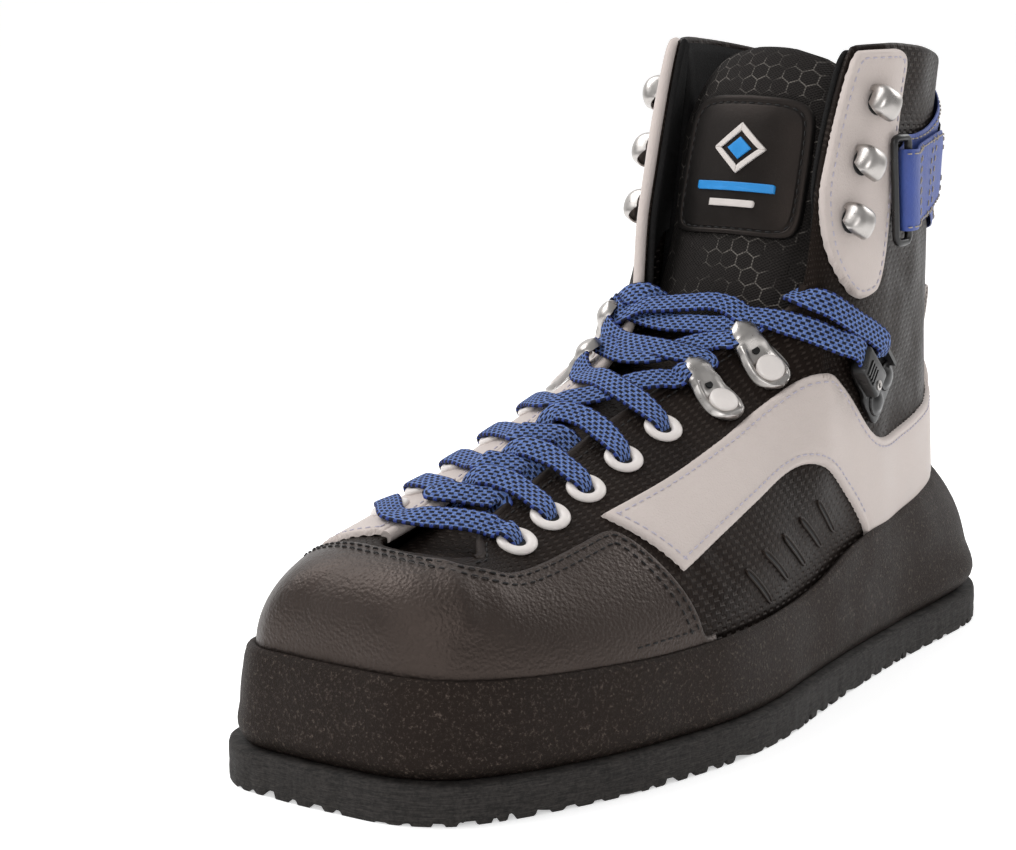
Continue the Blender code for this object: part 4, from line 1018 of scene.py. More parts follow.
def sole_rubber(name):
    """Cut rubber slab, brushed along its edge."""
    look = Paint(name, 0.78, 0.25)
    streaks = look.node("Mapping", {"Scale": (1.0, 1.0, 14.0), "Vector": look.where}).outputs["Vector"]
    lines, sand = look.noise(220.0, 4.0, 0.7, streaks), look.noise(900.0, 3.0, 0.7)
    both = look.add(look.times(lines, 0.6), look.times(sand, 0.4))
    look.colour(look.spread(both, 0.35, 0.68), (0.009, 0.008, 0.0075), (0.042, 0.037, 0.034))
    look.bump(both, 0.5)
    return look.material


def lace_braid(name):
    """Flat braid: blue with staggered dark dashes and paler flecks; its deeper, darker blue along both edges is partly
    the braid's own edge colour and partly painted shade where the bands lie on one another.
    """
    look = Paint(name, 0.82, 0.25)
    dash = look.staggered(look.spot, (2.5, 2.35), (0.72, 0.40), 0.05)
    shifted = look.vectors("ADD", look.spot, (0.67, 0.72, 0.0))
    fleck = look.staggered(shifted, (1.35, 1.45), (0.34, 0.24), 0.2)
    soft = look.noise(420.0)
    blue = look.mixed(look.spread(soft, *MIDDLE), (0.066, 0.125, 0.36), (0.105, 0.185, 0.47))
    blue = look.mixed(look.times(fleck, 0.6), blue, (0.27, 0.34, 0.54))
    # Deeper, darker blue along both edges: partly the braid's edge colour, partly painted shade between the bands
    across = look.sums("ABSOLUTE", look.split(look.spot)[1])
    blue = look.mixed(look.spread(across, 3.0, 3.6, 0.0, 0.85), blue, (0.012, 0.028, 0.22))
    look.colour(look.times(dash, 0.97), blue, (0.006, 0.006, 0.010))
    height = look.add(look.times(fleck, 0.7), look.times(soft, 0.5))
    look.bump(look.sums("SUBTRACT", height, look.times(dash, 0.5)), 0.35)
    return look.material


def webbing(name, colour):
    look = Paint(name, 0.85)
    weave = look.staggered(look.spot, (1.6, 1.2), (0.55, 0.36), 0.2)
    look.colour(weave, shade(colour, 0.62), colour)
    look.bump(weave, 0.35)
    return look.material


def plastic(name, colour, roughness, wear=0.1):
    look = Paint(name, roughness)
    soft = look.noise(240.0)
    look.colour(look.spread(soft, *MIDDLE), shade(colour, 1 - wear), colour)
    look.uneven(soft, 0.05, 0.07)
    look.bump(look.noise(1800.0, 2.0), 0.03)
    return look.material


def metal(name, colour, roughness):
    look = Paint(name, roughness, metallic=1.0)
    soft = look.noise(300.0, 4.0, 0.6)
    look.colour(soft, shade(colour, 0.85), colour)
    look.uneven(soft, 0.07, 0.1)
    look.bump(look.noise(1500.0), 0.02)
    return look.material


SOLE_RUBBER = sole_rubber("sole_rubber")
SIDE_RUBBER = speckled("side_rubber", (0.0098, 0.0072, 0.0060), (0.115, 0.090, 0.075), 0.8, 0.62, 0.5)
BLACK_LEATHER = dashed_leather("black_leather", (0.0080, 0.0056, 0.0046), (0.033, 0.026, 0.022))
PLAIN_BLACK = leather("plain_black", (0.0098, 0.0074, 0.0064), 1.1, 0.10, 0.48, gloss=0.25)
TOE_LEATHER = leather("toe_leather", (0.0155, 0.0121, 0.0107), 0.9, 0.24, 0.42, gloss=0.55)
WHITE_LEATHER = leather("white_leather", (0.565, 0.50, 0.47), 0.55, 0.12, 0.5, 0.05, 0.35)
BLUE_LEATHER = leather("blue_leather", (0.048, 0.088, 0.31), 1.0, 0.12, 0.5, 0.18, 0.35)
TONGUE_MESH = mesh_fabric("tongue_mesh", (0.0085, 0.0072, 0.0066), (0.22, 0.20, 0.18), 5.2)
PAD_MESH = mesh_fabric("pad_mesh", (0.0062, 0.0057, 0.0055), (0.07, 0.066, 0.062), 5.0)
LINING_FELT = felt("lining_felt", (0.0085, 0.008, 0.008))
INSOLE_FELT = felt("insole_felt", (0.03, 0.03, 0.032))
HOOK_FELT = felt("hook_felt", (0.007, 0.007, 0.008))
BADGE_RUBBER = speckled("badge_rubber", (0.0085, 0.008, 0.0078), (0.02, 0.02, 0.02), 0.25, 0.42, 0.08)
BADGE_WHITE = plastic("badge_white", (0.62, 0.57, 0.54), 0.45, 0.05)
BADGE_BLUE = plastic("badge_blue", (0.012, 0.24, 0.62), 0.45, 0.1)
WHITE_WEBBING = webbing("white_webbing", (0.62, 0.57, 0.54))
WHITE_PLASTIC = plastic("white_plastic", (0.74, 0.69, 0.66), 0.34, 0.05)
BLACK_PLASTIC = plastic("black_plastic", (0.0085, 0.008, 0.008), 0.32)
STEEL = metal("steel", (0.50, 0.475, 0.455), 0.33)
LACE = lace_braid("lace_braid")
# Painted shade: a near-black that stands in for the shade inside holes, hollows and slits
HOLE_SHADE = plastic("hole_painted_shade", (0.003, 0.003, 0.0035), 0.7)
PALE_THREAD = webbing("pale_thread", (0.46, 0.43, 0.50))
BLACK_THREAD = webbing("black_thread", (0.013, 0.012, 0.012))
TAN_THREAD = webbing("tan_thread", (0.34, 0.30, 0.25))


# Sole


def wander(u, seed):
    """A slow, repeatable wander along a line, about -1 to 1."""
    total = 0.0
    for k, size in enumerate((1.0, 0.7, 0.5)):
        total = total + size * np.sin(u * (0.37 + 0.61 * k) * (1 + 0.13 * seed) + 1.7 * seed + 2.1 * k)
    return total / 1.6


def tread_teeth(u):
    """Height of the ragged cut along the sole's lower edge."""
    notch = np.sin(u * 0.78 + 2.6 * wander(u * 0.23, 1.0)) + 0.35 * wander(u * 1.3, 4.0)
    deep = 1.0 + 0.8 * wander(u * 0.21, 2.0)
    return np.clip((notch - 0.1) * 3.0, 0.0, 1.0) * np.clip(deep, 0.35, 1.9)


# The sole's underside and cut edge, from the middle outwards: inset, height and share of the ragged cut
TREAD_LEVELS = (
    (26.0, 0.9, 0.0), (9.0, 0.9, 0.6), (2.2, 0.5, 1.0), (1.0, 0.15, 1.0), (0.25, 0.0, 1.0), (0.0, 0.35, 1.0),
)
# The sole's side and top, from below: inset and height
SOLE_LEVELS = ((0.0, 2.9), (0.1, 4.6), (0.0, 6.8), (0.0, 9.2), (0.25, 10.1), (0.9, 10.5), (12.0, 10.5))
SOLE_SPACING = 0.55
SOLE_SWELL, SWELL_TOP = 0.12, 9.0
# The wall's points upwards, in shares of its height, and the lip along its rim: size, share and width
WALL_COLUMNS = 420
WALL_SHARES = np.concatenate([
    [0.0, 0.02, 0.045], np.linspace(0.07, 0.9, 20), [0.93, 0.955, 0.975, 0.99, 1.0],
])
WALL_LIP, LIP_SHARE, LIP_WIDTH = 0.3, 0.965, 0.02
# The wall's top, inwards: share of its width and drop under the rim
WALL_TOP = ((0.15, -0.3), (0.35, -0.25), (0.6, 0.1), (0.85, 0.5))
INNER_DROP = 1.6
# About the wall's height in mm and the width of its top, for its flat layout
WALL_FLAT, WALL_TOP_FLAT, WALL_INNER_FLAT = 40.0, 3.0, 44.0


def sole_ring(u, inset, z):
    """The sole's outline moved in, at a height."""
    plan, _ = sole_outline(u, np.broadcast_to(inset, u.shape))
    return np.column_stack([plan, np.broadcast_to(z, u.shape)])


def sole_mark(u, value):
    return np.column_stack([u, np.full(u.shape, value)])


def make_outsole():
    shape = Shape()
    u = np.arange(0.0, PERIMETER, SOLE_SPACING)
    u = u * PERIMETER / (u[-1] + SOLE_SPACING)
    teeth = tread_teeth(u)
    lines = [sole_ring(u, inset, low + share * teeth) for inset, low, share in TREAD_LEVELS]
    marks = [sole_mark(u, inset) for inset, _, _ in TREAD_LEVELS]
    for inset, z in SOLE_LEVELS:
        swell = SOLE_SWELL * wander(u * 0.6, 3.0) if z < SWELL_TOP else 0.0
        lines.append(sole_ring(u, inset - swell, z))
        marks.append(sole_mark(u, -z))
    rings(shape, lines, np.array(marks))
    shape.piece("outsole_rubber", SOLE_RUBBER, "rubber", ["outsole"], crisp=55)


def make_side_wall():
    """The moulded wall with a lip along its rim and a tuck over the sole."""
    shape = Shape()
    u = np.linspace(0.0, PERIMETER, WALL_COLUMNS, endpoint=False)
    inset = upper_inset(u)
    base, _ = sole_outline(u, inset)
    rim = rim_height(base[:, 0])
    bottom = SOLE_THICKNESS + GAP
    profile = np.array(SIDE_PROFILE)
    at_toe = curve(profile[:, 0], profile[:, 1], WALL_SHARES)
    at_heel = curve(profile[:, 0], profile[:, 2], WALL_SHARES)
    toe_share = np.clip((base[:, 0] - HEEL_SHAPE_END) / (TOE_SHAPE_START - HEEL_SHAPE_END), 0.0, 1.0)
    lines, marks = [], []
    for share, toe_part, heel_part in zip(WALL_SHARES, at_toe, at_heel):
        lip = WALL_LIP * math.exp(-((share - LIP_SHARE) / LIP_WIDTH) ** 2)
        edge = inset * (heel_part + (toe_part - heel_part) * toe_share)
        lines.append(sole_ring(u, edge - lip, bottom + (rim - bottom) * share))
        marks.append(sole_mark(u, WALL_FLAT * share))
    for share, drop in WALL_TOP:
        lines.append(sole_ring(u, edge + (inset - GAP - edge) * share, rim - drop))
        marks.append(sole_mark(u, WALL_FLAT + WALL_TOP_FLAT * share))
    for z in (rim - INNER_DROP, FLOOR_Z):
        lines.append(sole_ring(u, inset - GAP, z))
        marks.append(sole_mark(u, WALL_INNER_FLAT))
    rings(shape, lines, np.array(marks))
    shape.piece("side_wall_rubber", SIDE_RUBBER, "wall_foam", ["side_wall"], crisp=50)


# Upper


def trough(points, width, u, v):
    """Depth of a soft line of places and shares, 1 on it and 0 away from it."""
    where = skin(u, v)
    fine = resample([skin(a, b) for a, b in points], 1.0)
    far = np.min(np.linalg.norm(where.reshape(-1, 1, 3) - fine[None], axis=-1), axis=1)
    return np.exp(-(far.reshape(where.shape[:-1]) / width) ** 2)


# Creases on both sides: line, width and depth in mm
CREASES = (
    (((126.0, 36.0, 101.0), (114.0, 42.0, 94.0), (101.0, 46.0, 91.0)), 3.6, -0.55),
    (((123.0, 38.0, 109.0), (110.0, 43.0, 104.0), (94.0, 45.0, 102.0)), 3.2, -0.45),
    (((125.0, 37.0, 105.0), (112.0, 43.0, 99.0), (98.0, 46.0, 96.5)), 2.4, 0.3),
    (((92.0, 43.0, 132.0), (78.0, 44.0, 124.0), (62.0, 42.0, 120.0)), 4.5, -0.4),
    (((208.0, 36.0, 61.0), (203.0, 45.0, 52.0), (200.0, 50.0, 45.0)), 3.0, -0.4),
    (((198.0, 38.0, 64.0), (193.0, 46.0, 55.0), (190.0, 51.0, 47.0)), 3.2, -0.35),
)


def upper_relief(u, v):
    """Soft waves of the leather, and the listed creases."""
    calm = np.clip(np.asarray(v) * 4, 0.0, 1.0)
    wave = 0.12 * np.sin(u * 0.11 + 3.0 * v) * np.sin(v * 9.0 + u * 0.021)
    lift = wave * calm
    for points, width, depth in CREASES:
        for turn in (1, -1):
            line = [nearest((x, turn * y, z)) for x, y, z in points]
            lift = lift + depth * trough(line, width, u, v)
    return lift


UPPER_COLUMNS = 330
# Shares of the upper's points up its outer face and down its inner face, and the points over its edge
UPPER_OUTER = np.concatenate([[-1.0, -0.4, -0.1], np.linspace(0.0, 1.0, 56)])
UPPER_INNER = np.linspace(1.0, -1.0, 24)
EDGE_ANGLES = np.linspace(0.0, math.pi, 7)[1:-1]
# The collar's padding: distance from the collar's front ends, length of its rounded ends, lowest share and
# the shares over it, thickness, and the seam across it by place, width and depth
PADDING_ENDS, PADDING_ROUND = 4.0, 14.0
PADDING_LOW, PADDING_TALL = 0.45, 0.545
PADDING_BULGE = 6.2
PADDING_SEAM, SEAM_WIDTH, SEAM_DEPTH = 0.52, 0.05, 0.35


def make_upper():
    shape = Shape()
    u = np.linspace(0.0, PERIMETER, UPPER_COLUMNS, endpoint=False)
    grid_u, grid_v = np.meshgrid(u, UPPER_OUTER, indexing="ij")
    face = skin(grid_u, grid_v, upper_relief(grid_u, grid_v))
    point, normal, _, rise = skin_frame(u, 1.0)
    rise = unit(rise)
    edge = []
    for angle in EDGE_ANGLES:
        reach = WALL / 2 * math.sin(angle)
        edge.append(point + normal * (WALL / 2 * math.cos(angle) - WALL / 2) + rise * reach)
    behind = skin(*np.meshgrid(u, UPPER_INNER, indexing="ij"), -WALL)
    lines = np.concatenate([face, np.stack(edge, axis=1), behind], axis=1)
    shares = np.concatenate([UPPER_OUTER, np.ones(len(edge)), UPPER_INNER])
    marks = flat(*np.meshgrid(u, shares, indexing="ij"))
    shape.add(lines, grid_faces(len(u), len(shares), wrap_rows=True, wrap_columns=True), marks)
    shape.piece("upper_leather", BLACK_LEATHER, "leather_black", ["upper"], crisp=60)


def make_lining():
    """The padded collar inside the shaft, faced with felt."""
    shape = Shape()
    first = SECTION_PLACE[COLLAR_INNER] - PERIMETER + PADDING_ENDS
    last = SECTION_PLACE[COLLAR_OUTER] - PADDING_ENDS
    u = np.linspace(first, last, 150)
    ends = np.clip(np.minimum(u - first, last - u) / PADDING_ROUND, 0.0, 1.0) ** 0.5
    rows = np.linspace(0.0, 1.0, 30)
    shares = PADDING_LOW + PADDING_TALL * rows
    seam = 1 - SEAM_DEPTH * np.exp(-((rows - PADDING_SEAM) / SEAM_WIDTH) ** 2)
    full = PADDING_BULGE * np.sin(np.clip((1 - rows) / 0.98, 0, 1) * math.pi) ** 0.55
    lines = []
    for place, end in zip(u, ends):
        outer = skin(place, shares, -WALL - 0.15)
        inner = skin(place, shares, -WALL - 0.3 - full * (0.35 + 0.65 * end) * seam)
        lines.append(np.concatenate([outer, inner[::-1]]))
    rings(shape, lines)
    made = shape.piece("collar_padding", LINING_FELT, "mesh_black", crisp=60)


# Tongue


TONGUE_KNOTS = np.arange(len(TONGUE), dtype=float)
TONGUE_TABLE = table(TONGUE_COLUMNS, TONGUE)
# Rows of the tongue where its padding starts, its mesh starts, its top widens and its top is rounded off
PADDED_FROM, MESH_FROM, WIDER_FROM, DOME_FROM = 7.0, 7.1, 9.0, 11.3
TONGUE_EASE = 1.5
TONGUE_WIDER = 0.14
# The padding's crown, and the seam pressed in along its sides: depth, place and width
CROWN = 1.3
TONGUE_SEAM_DEPTH, TONGUE_SEAM, TONGUE_SEAM_WIDTH = 0.9, 0.8, 0.06


def on_tongue(name, row):
    return curve(TONGUE_KNOTS, TONGUE_TABLE[name], row)


def tongue_face(row, side, lift):
    """Points over the tongue's outer face: row along its table, side from -1 to 1 across it."""
    row, side, lift = np.broadcast_arrays(np.asarray(row, float), np.asarray(side, float), np.asarray(lift, float))
    small = 0.05
    dx, dz = (on_tongue(name, row + small) - on_tongue(name, row - small) for name in ("x", "z"))
    length = np.hypot(dx, dz)
    sink = on_tongue("drop", row) * side ** 2 - lift
    x = on_tongue("x", row) - dz / length * sink
    y = on_tongue("y", row) + side * on_tongue("half_width", row)
    return np.stack([x, y, on_tongue("z", row) + dx / length * sink], axis=-1)


def make_tongue():
    shape = Shape()
    top = TONGUE_KNOTS[-1]
    rows = np.linspace(0.0, top, 200)
    across = np.linspace(-1.0, 1.0, 41)
    thickness = on_tongue("thickness", rows)
    over = np.clip((rows - DOME_FROM) / (top - DOME_FROM), 0.0, 1.0)
    wider = 1 + TONGUE_WIDER * np.clip((rows - WIDER_FROM) / TONGUE_EASE, 0.0, 1.0)
    narrow = np.maximum((1 - over ** 3) ** (1 / 3), 0.3) * wider
    full = np.sqrt(np.clip(1 - over ** 2, 0.03, 1.0))
    seam = TONGUE_SEAM_DEPTH * np.exp(-((abs(across) - TONGUE_SEAM) / TONGUE_SEAM_WIDTH) ** 2)
    crown = CROWN * np.cos(across * math.pi / 2) ** 0.6 - seam
    run = run_along(tongue_face(rows, 0.0, 0.0))
    lines, marks = [], []
    for k, row in enumerate(rows):
        side = across * narrow[k]
        padded = np.clip((row - PADDED_FROM) / TONGUE_EASE, 0.0, 1.0)
        thin = (1 - abs(across) ** 8) * full[k]
        outer = tongue_face(row, side, padded * crown * full[k] - 0.5 * thickness[k] * (1 - thin))
        inner = tongue_face(row, side, -thickness[k] * (0.5 + 0.5 * thin))
        lines.append(np.concatenate([outer, inner[::-1]]))
        width = side * on_tongue("half_width", row)
        both = np.concatenate([width, width[::-1]])
        marks.append(np.column_stack([both, np.full(len(both), run[k])]))
    lines, marks = np.array(lines), np.array(marks)
    count, columns, _ = lines.shape
    split = int(np.searchsorted(rows, MESH_FROM))
    low = grid_faces(split, columns, wrap_columns=True) + [tuple(range(columns))]
    shape.add(lines[:split], low, marks[:split], slot=1)
    high = grid_faces(count - split + 1, columns, wrap_columns=True)
    high.append(tuple(range((count - split) * columns, (count - split + 1) * columns)))
    shape.add(lines[split - 1:], high, marks[split - 1:], slot=0)
    made = shape.piece("tongue_padding", [TONGUE_MESH, BLACK_LEATHER], "mesh_black", ["tongue"], crisp=50)


# The badge's plate, from its edge inwards: share of its size and height; its corners' power, and its base's height
BADGE_LEVELS = (
    (1.0, -0.1), (1.0, 1.0), (0.99, 1.3), (0.97, 1.42), (0.93, 1.4), (0.915, 1.25), (0.905, 0.85), (0.885, 0.85),
    (0.875, 1.2), (0.86, 1.3), (0.6, 1.32), (0.3, 1.35), (0.02, 1.35),
)
BADGE_POWER = 2 / 7.5
BADGE_BASE = 1.2
BADGE_SEAM, BADGE_SEAM_LIFT = 0.895, 2.2
# The raised figure, in shares of the badge's half sizes: levels, then a frame of four bars, a lozenge and two bars
RAISED_LEVELS = ((1.0, 2.3), (1.0, 2.95), (0.96, 3.12), (0.9, 3.15), (0.5, 3.15), (0.02, 3.15))
FIGURE_Y = 0.26
FIGURE_FRAME, FRAME_BAR = (0.42, 0.36), (0.12, 0.11)
LOZENGE = (0.19, 0.16)
# Bars under it: half width, top, bottom and material
BADGE_BARS = ((0.62, -0.22, -0.34, 2), (0.36, -0.46, -0.56, 1))


def badge_face(x, y, lift):
    """Points over the badge: x across it and y up it, in shares of its half sizes."""
    first, last = BADGE_ROWS
    row = (first + last) / 2 + np.asarray(y, float) * (last - first) / 2
    return tongue_face(row, np.asarray(x, float) * BADGE_HALF_WIDTH / on_tongue("half_width", last), lift)


def raised(shape, outline, slot):
    """A low raised form on the badge, from an outline in shares of its half sizes."""
    closed = resample(outline, 0.05, closed=True)
    middle = closed.mean(axis=0)
    lines = []
    for size, lift in RAISED_LEVELS:
        line = middle + (closed - middle) * size
        lines.append(badge_face(line[:, 0], line[:, 1], lift))
    rings(shape, lines, slot=slot)


def make_badge():
    """A moulded plate with a stitched rim and a plain raised figure of lozenges and bars."""
    shape = Shape()
    angle = np.linspace(0.0, 2 * math.pi, 160, endpoint=False)
    out_x, out_y = (np.sign(way) * abs(way) ** BADGE_POWER for way in (np.cos(angle), np.sin(angle)))
    rings(shape, [badge_face(size * out_x, size * out_y, lift + BADGE_BASE) for size, lift in BADGE_LEVELS])
    (wide, tall), (thin_x, thin_y) = FIGURE_FRAME, FRAME_BAR
    for side in (-1, 1):
        for end in (-1, 1):
            bar = [
                (0.0, FIGURE_Y + end * tall), (side * wide, FIGURE_Y), (side * (wide - thin_x), FIGURE_Y),
                (0.0, FIGURE_Y + end * (tall - thin_y)),
            ]
            raised(shape, bar, 1)
    wide, tall = LOZENGE
    raised(shape, [(0.0, FIGURE_Y + tall), (wide, FIGURE_Y), (0.0, FIGURE_Y - tall), (-wide, FIGURE_Y)], 2)
    for half, top, bottom, slot in BADGE_BARS:
        raised(shape, [(-half, top), (half, top), (half, bottom), (-half, bottom)], slot)
    shape.piece("badge_plate", [BADGE_RUBBER, BADGE_WHITE, BADGE_BLUE], "badge_rubber", ["tongue_badge"], crisp=60)
    line = badge_face(BADGE_SEAM * out_x, BADGE_SEAM * out_y, BADGE_SEAM_LIFT)
    normal = badge_face(BADGE_SEAM * out_x, BADGE_SEAM * out_y, BADGE_SEAM_LIFT + 1.0) - line
    DARK_THREAD.along(np.concatenate([line, line[:1]]), np.concatenate([normal, normal[:1]]))


# Overlays


# Points of the toe cap's corner ridge, and of the shallow hollow across its front by place and share
TOE_RIDGE = [
    nearest(point) for point in ((268.5, 11.2, 62.8), (272.1, 18.2, 60.5), (275.1, 24.9, 55.6), (277.2, 28.2, 50.0))
]
TOE_HOLLOW = ((TOE - 30.0, 0.45), (TOE - 8.0, 0.6), (TOE + 20.0, 0.5))
# Outlines of sheets end at this share under the rim and at this one along the throat
UNDER_RIM, TOP_SHARE = -0.25, 0.985
LINE_SPACING = 1.5
TOE_SEARCH = 180.0
# Height of the sheets over the face, and their thickness
SHEET_BASE = 0.35
TOE_SHEET, PANEL_SHEET = 1.25, 1.35
TOE_SEAMS = (2.4, 5.2)
PANEL_SEAM, FLAP_SEAM, PAD_SEAM = 2.7, 2.4, 2.2
# Seams are sewn above these shares, and on the panels clear of the heel's middle
TOE_SEWN, PANEL_SEWN, HEEL_CLEAR = 0.06, 0.05, 6.0
# The panels' top edges, from the heel's middle to their front ends, and the radii of their corners
PANEL_TOP = {
    1: (((9.0, 91.5),) + HEEL_CURVE + ((146.0, 87.0), (177.0, 77.5), (219.0, 67.5)),
        (0, 8, 8, 9, 20, 10, 8, 8, 12, 25, 25, 0)),
    -1: (((9.0, 91.5),) + HEEL_CURVE + ((134.0, 93.0), (142.0, 95.0)), (0, 8, 8, 9, 20, 10, 8, 8, 10, 6, 0)),
}
VENT_RADIUS = 7.0
HEEL_HALF_GAP = 0.6
PAST_TOE = 20.0
# The inner panel's front: distance past the throat's end, reach of the search for the toe seam, and its tuck
PAST_THROAT, SEAM_SEARCH, SEAM_TUCK = 4.0, 150.0, 1.2


def make_toe_cap():
    seam = find(resample(soften(TOE_SEAM, 5.0), LINE_SPACING), (0, 1), TOE_SEARCH, PERIMETER - TOE_SEARCH)
    seam[:, 1] = np.minimum(seam[:, 1], TOP_SHARE)
    bottom = np.linspace(seam[-1, 0], seam[0, 0], 200)
    outline = region(np.concatenate([seam, np.column_stack([bottom, np.full(200, UNDER_RIM)])]))
    shape = Shape()
    height = laid(shape, outline, SHEET_BASE, TOE_SHEET, edge=1.6, groove=3.0, spacing=2.2, relief=toe_relief)
    shape.piece("toe_cap_leather", TOE_LEATHER, "leather_grained", ["toe_cap"], crisp=60, closed=False)
    for distance in TOE_SEAMS:
        sew(DARK_THREAD, outline, distance, height, lambda u, v: v > TOE_SEWN)


def toe_relief(u, v):
    """The corner ridge and the shallow hollows of the toe cap."""
    ridge, beside = trough(TOE_RIDGE, 3.2, u, v), trough(TOE_RIDGE, 9.0, u, v)
    return 0.75 * ridge - 0.3 * beside - 0.25 * trough(TOE_HOLLOW, 12.0, u, v)


def panel_outline(turn, first, last, heel):
    """Lines of a side panel's outline: up the heel seam, along its top, round the vents and back along the rim."""
    edge = find(resample(soften(*PANEL_TOP[turn]), LINE_SPACING), (0, 2), first, last)
    under = find(resample(soften(VENT_CURVE, VENT_RADIUS), LINE_SPACING), (0, 2), first, last)
    seam_top = float(share_at(heel, HEEL_TOP))
    rise = np.column_stack([np.full(20, heel), np.linspace(UNDER_RIM, seam_top, 20)])
    low = np.column_stack([np.linspace(under[-1, 0], heel, 60), np.full(60, UNDER_RIM)])
    return rise, edge, under, low


def make_panel(side, lines):
    shape = Shape()
    outline = region(np.concatenate(lines))
    height = laid(shape, outline, SHEET_BASE, PANEL_SHEET)
    name, nodes = f"panel_{side}_leather", [f"side_panel_{side}"]
    shape.piece(name, WHITE_LEATHER, "leather_white", nodes, crisp=60, closed=False)

    def visible(u, v):
        return (v > PANEL_SEWN) & (u > HEEL_CLEAR) & (u < PERIMETER - HEEL_CLEAR)

    sew(LIGHT_THREAD, outline, PANEL_SEAM, height, visible)


def make_panels():
    make_panel("lateral", panel_outline(1, HEEL_HALF_GAP, TOE - PAST_TOE, HEEL_HALF_GAP))
    heel = PERIMETER - HEEL_HALF_GAP
    rise, edge, under, low = panel_outline(-1, TOE + PAST_TOE, heel, heel)
    places = np.linspace(edge[-1, 0], SECTION_PLACE[THROAT_INNER] + PAST_THROAT, 120)
    throat = np.column_stack([places, np.full(120, TOP_SHARE)])
    seam = find(resample(INNER_SEAM, LINE_SPACING), (0, 1), TOE, PERIMETER - SEAM_SEARCH)
    seam = seam + np.array([SEAM_TUCK, 0.0])
    under = under[under[:, 0] > seam[:, 0].min()]
    make_panel("medial", (rise, edge, throat, seam, under, low))


# The flaps' lower edge from above, the radii of its corners, and the places each is searched between
HOOK_FLAP = (
    (79.0, 188.0), (84.0, 166.0), (87.0, 146.0), (90.0, 124.0), (97.0, 112.5), (106.0, 113.5), (112.0, 119.0),
    (118.0, 131.0),
)
FLAP_RADII = (0, 30, 30, 14, 7, 5, 8, 0)
FLAP_SEARCH = {"lateral": (55.0, 165.0), "medial": (PERIMETER - 175.0, PERIMETER - 50.0)}
FLAP_BASE, FLAP_SHEET = 0.5, 1.7
FLAP_BELOW_TOP = 0.5


def make_flaps():
    for side, (first, last) in FLAP_SEARCH.items():
        lower = find(resample(soften(HOOK_FLAP, FLAP_RADII), LINE_SPACING), (0, 2), first, last)
        places = np.linspace(lower[-1, 0], lower[0, 0], 120)
        tall = np.linalg.norm(skin_frame(places, 0.98)[3], axis=1)
        top_line = np.column_stack([places, 1 - FLAP_BELOW_TOP / tall])
        outline = round_corners(region(np.concatenate([lower, top_line])), 6)
        shape = Shape()
        height = laid(shape, outline, FLAP_BASE, FLAP_SHEET, edge=1.3, groove=2.4)
        name, nodes = f"flap_{side}_leather", [f"hook_flap_{side}"]
        shape.piece(name, WHITE_LEATHER, "leather_white", nodes, crisp=60, closed=False)
        sew(LIGHT_THREAD, outline, FLAP_SEAM, height)


def round_corners(outline, reach):
    """A closed outline evened out over its corners."""
    total = np.zeros(outline.shape)
    for k in range(-reach, reach + 1):
        total += np.roll(outline, k, axis=0)
    return total / (2 * reach + 1)


def make_heel_pad():
    shape = Shape()
    low_z, high_z, half, wider, radius, puffed = 97.0, 126.0, 15.0, 1.0, 6.0, 1.2
    base, thickness = 0.3, 1.3
    corners = [(-half, low_z), (half, low_z), (half + wider, high_z), (-half - wider, high_z)]
    corners = soften(corners, radius, closed=True)
    outline = region(np.column_stack([corners[:, 0], share_at(corners[:, 0], corners[:, 1])]))

    def swell(u, _):
        return puffed * np.clip(1 - (u / half) ** 2, 0.0, 1.0)

    height = laid(shape, outline, base, thickness, edge=1.5, groove=2.6, relief=swell)
    shape.piece("heel_pad_mesh", PAD_MESH, "mesh_black", ["heel_pad"], crisp=60, closed=False)
    sew(DARK_THREAD, outline, PAD_SEAM, height)


# Strap, ring and pull tab


# Rows of STRAP over which its free end is rounded, and the row of its fold round the ring
STRAP_TIP, STRAP_FOLD = 0.45, 13.0
STRAP_STEPS, STRAP_ACROSS = 300, 21
# Seams along the strap's edges stop this many steps before the fold and start again after it
SEAM_BEFORE, SEAM_AFTER = 14, 10
# Seams across the free end, in shares of its length, and their slant in steps
CROSS_SEAMS = (0.47, 0.53, 0.72, 0.78)
CROSS_SLANT = 4
# The felt patch under the strap's end: places, its lower and upper edges at both, and its two faces' heights
PATCH_PLACES = (20.0, 40.0)
PATCH_LOW, PATCH_HIGH = (142.0, 140.5), (163.5, 162.5)
PATCH_LIFTS = (2.2, 2.75)
# The pull tab's middle line from the side, its half width and half thickness
TAB_LINE = np.array([
    (9.4, 86.5), (8.6, 89.8), (7.1, 93.0), (6.1, 96.6), (5.4, 100.5), (4.5, 104.5), (3.6, 105.8), (2.8, 104.4),
    (3.4, 100.0), (4.5, 95.5), (6.4, 91.4), (8.5, 88.2), (9.4, 86.0),
])
TAB_HALF_WIDTH, TAB_HALF_THICKNESS = 6.3, 0.55


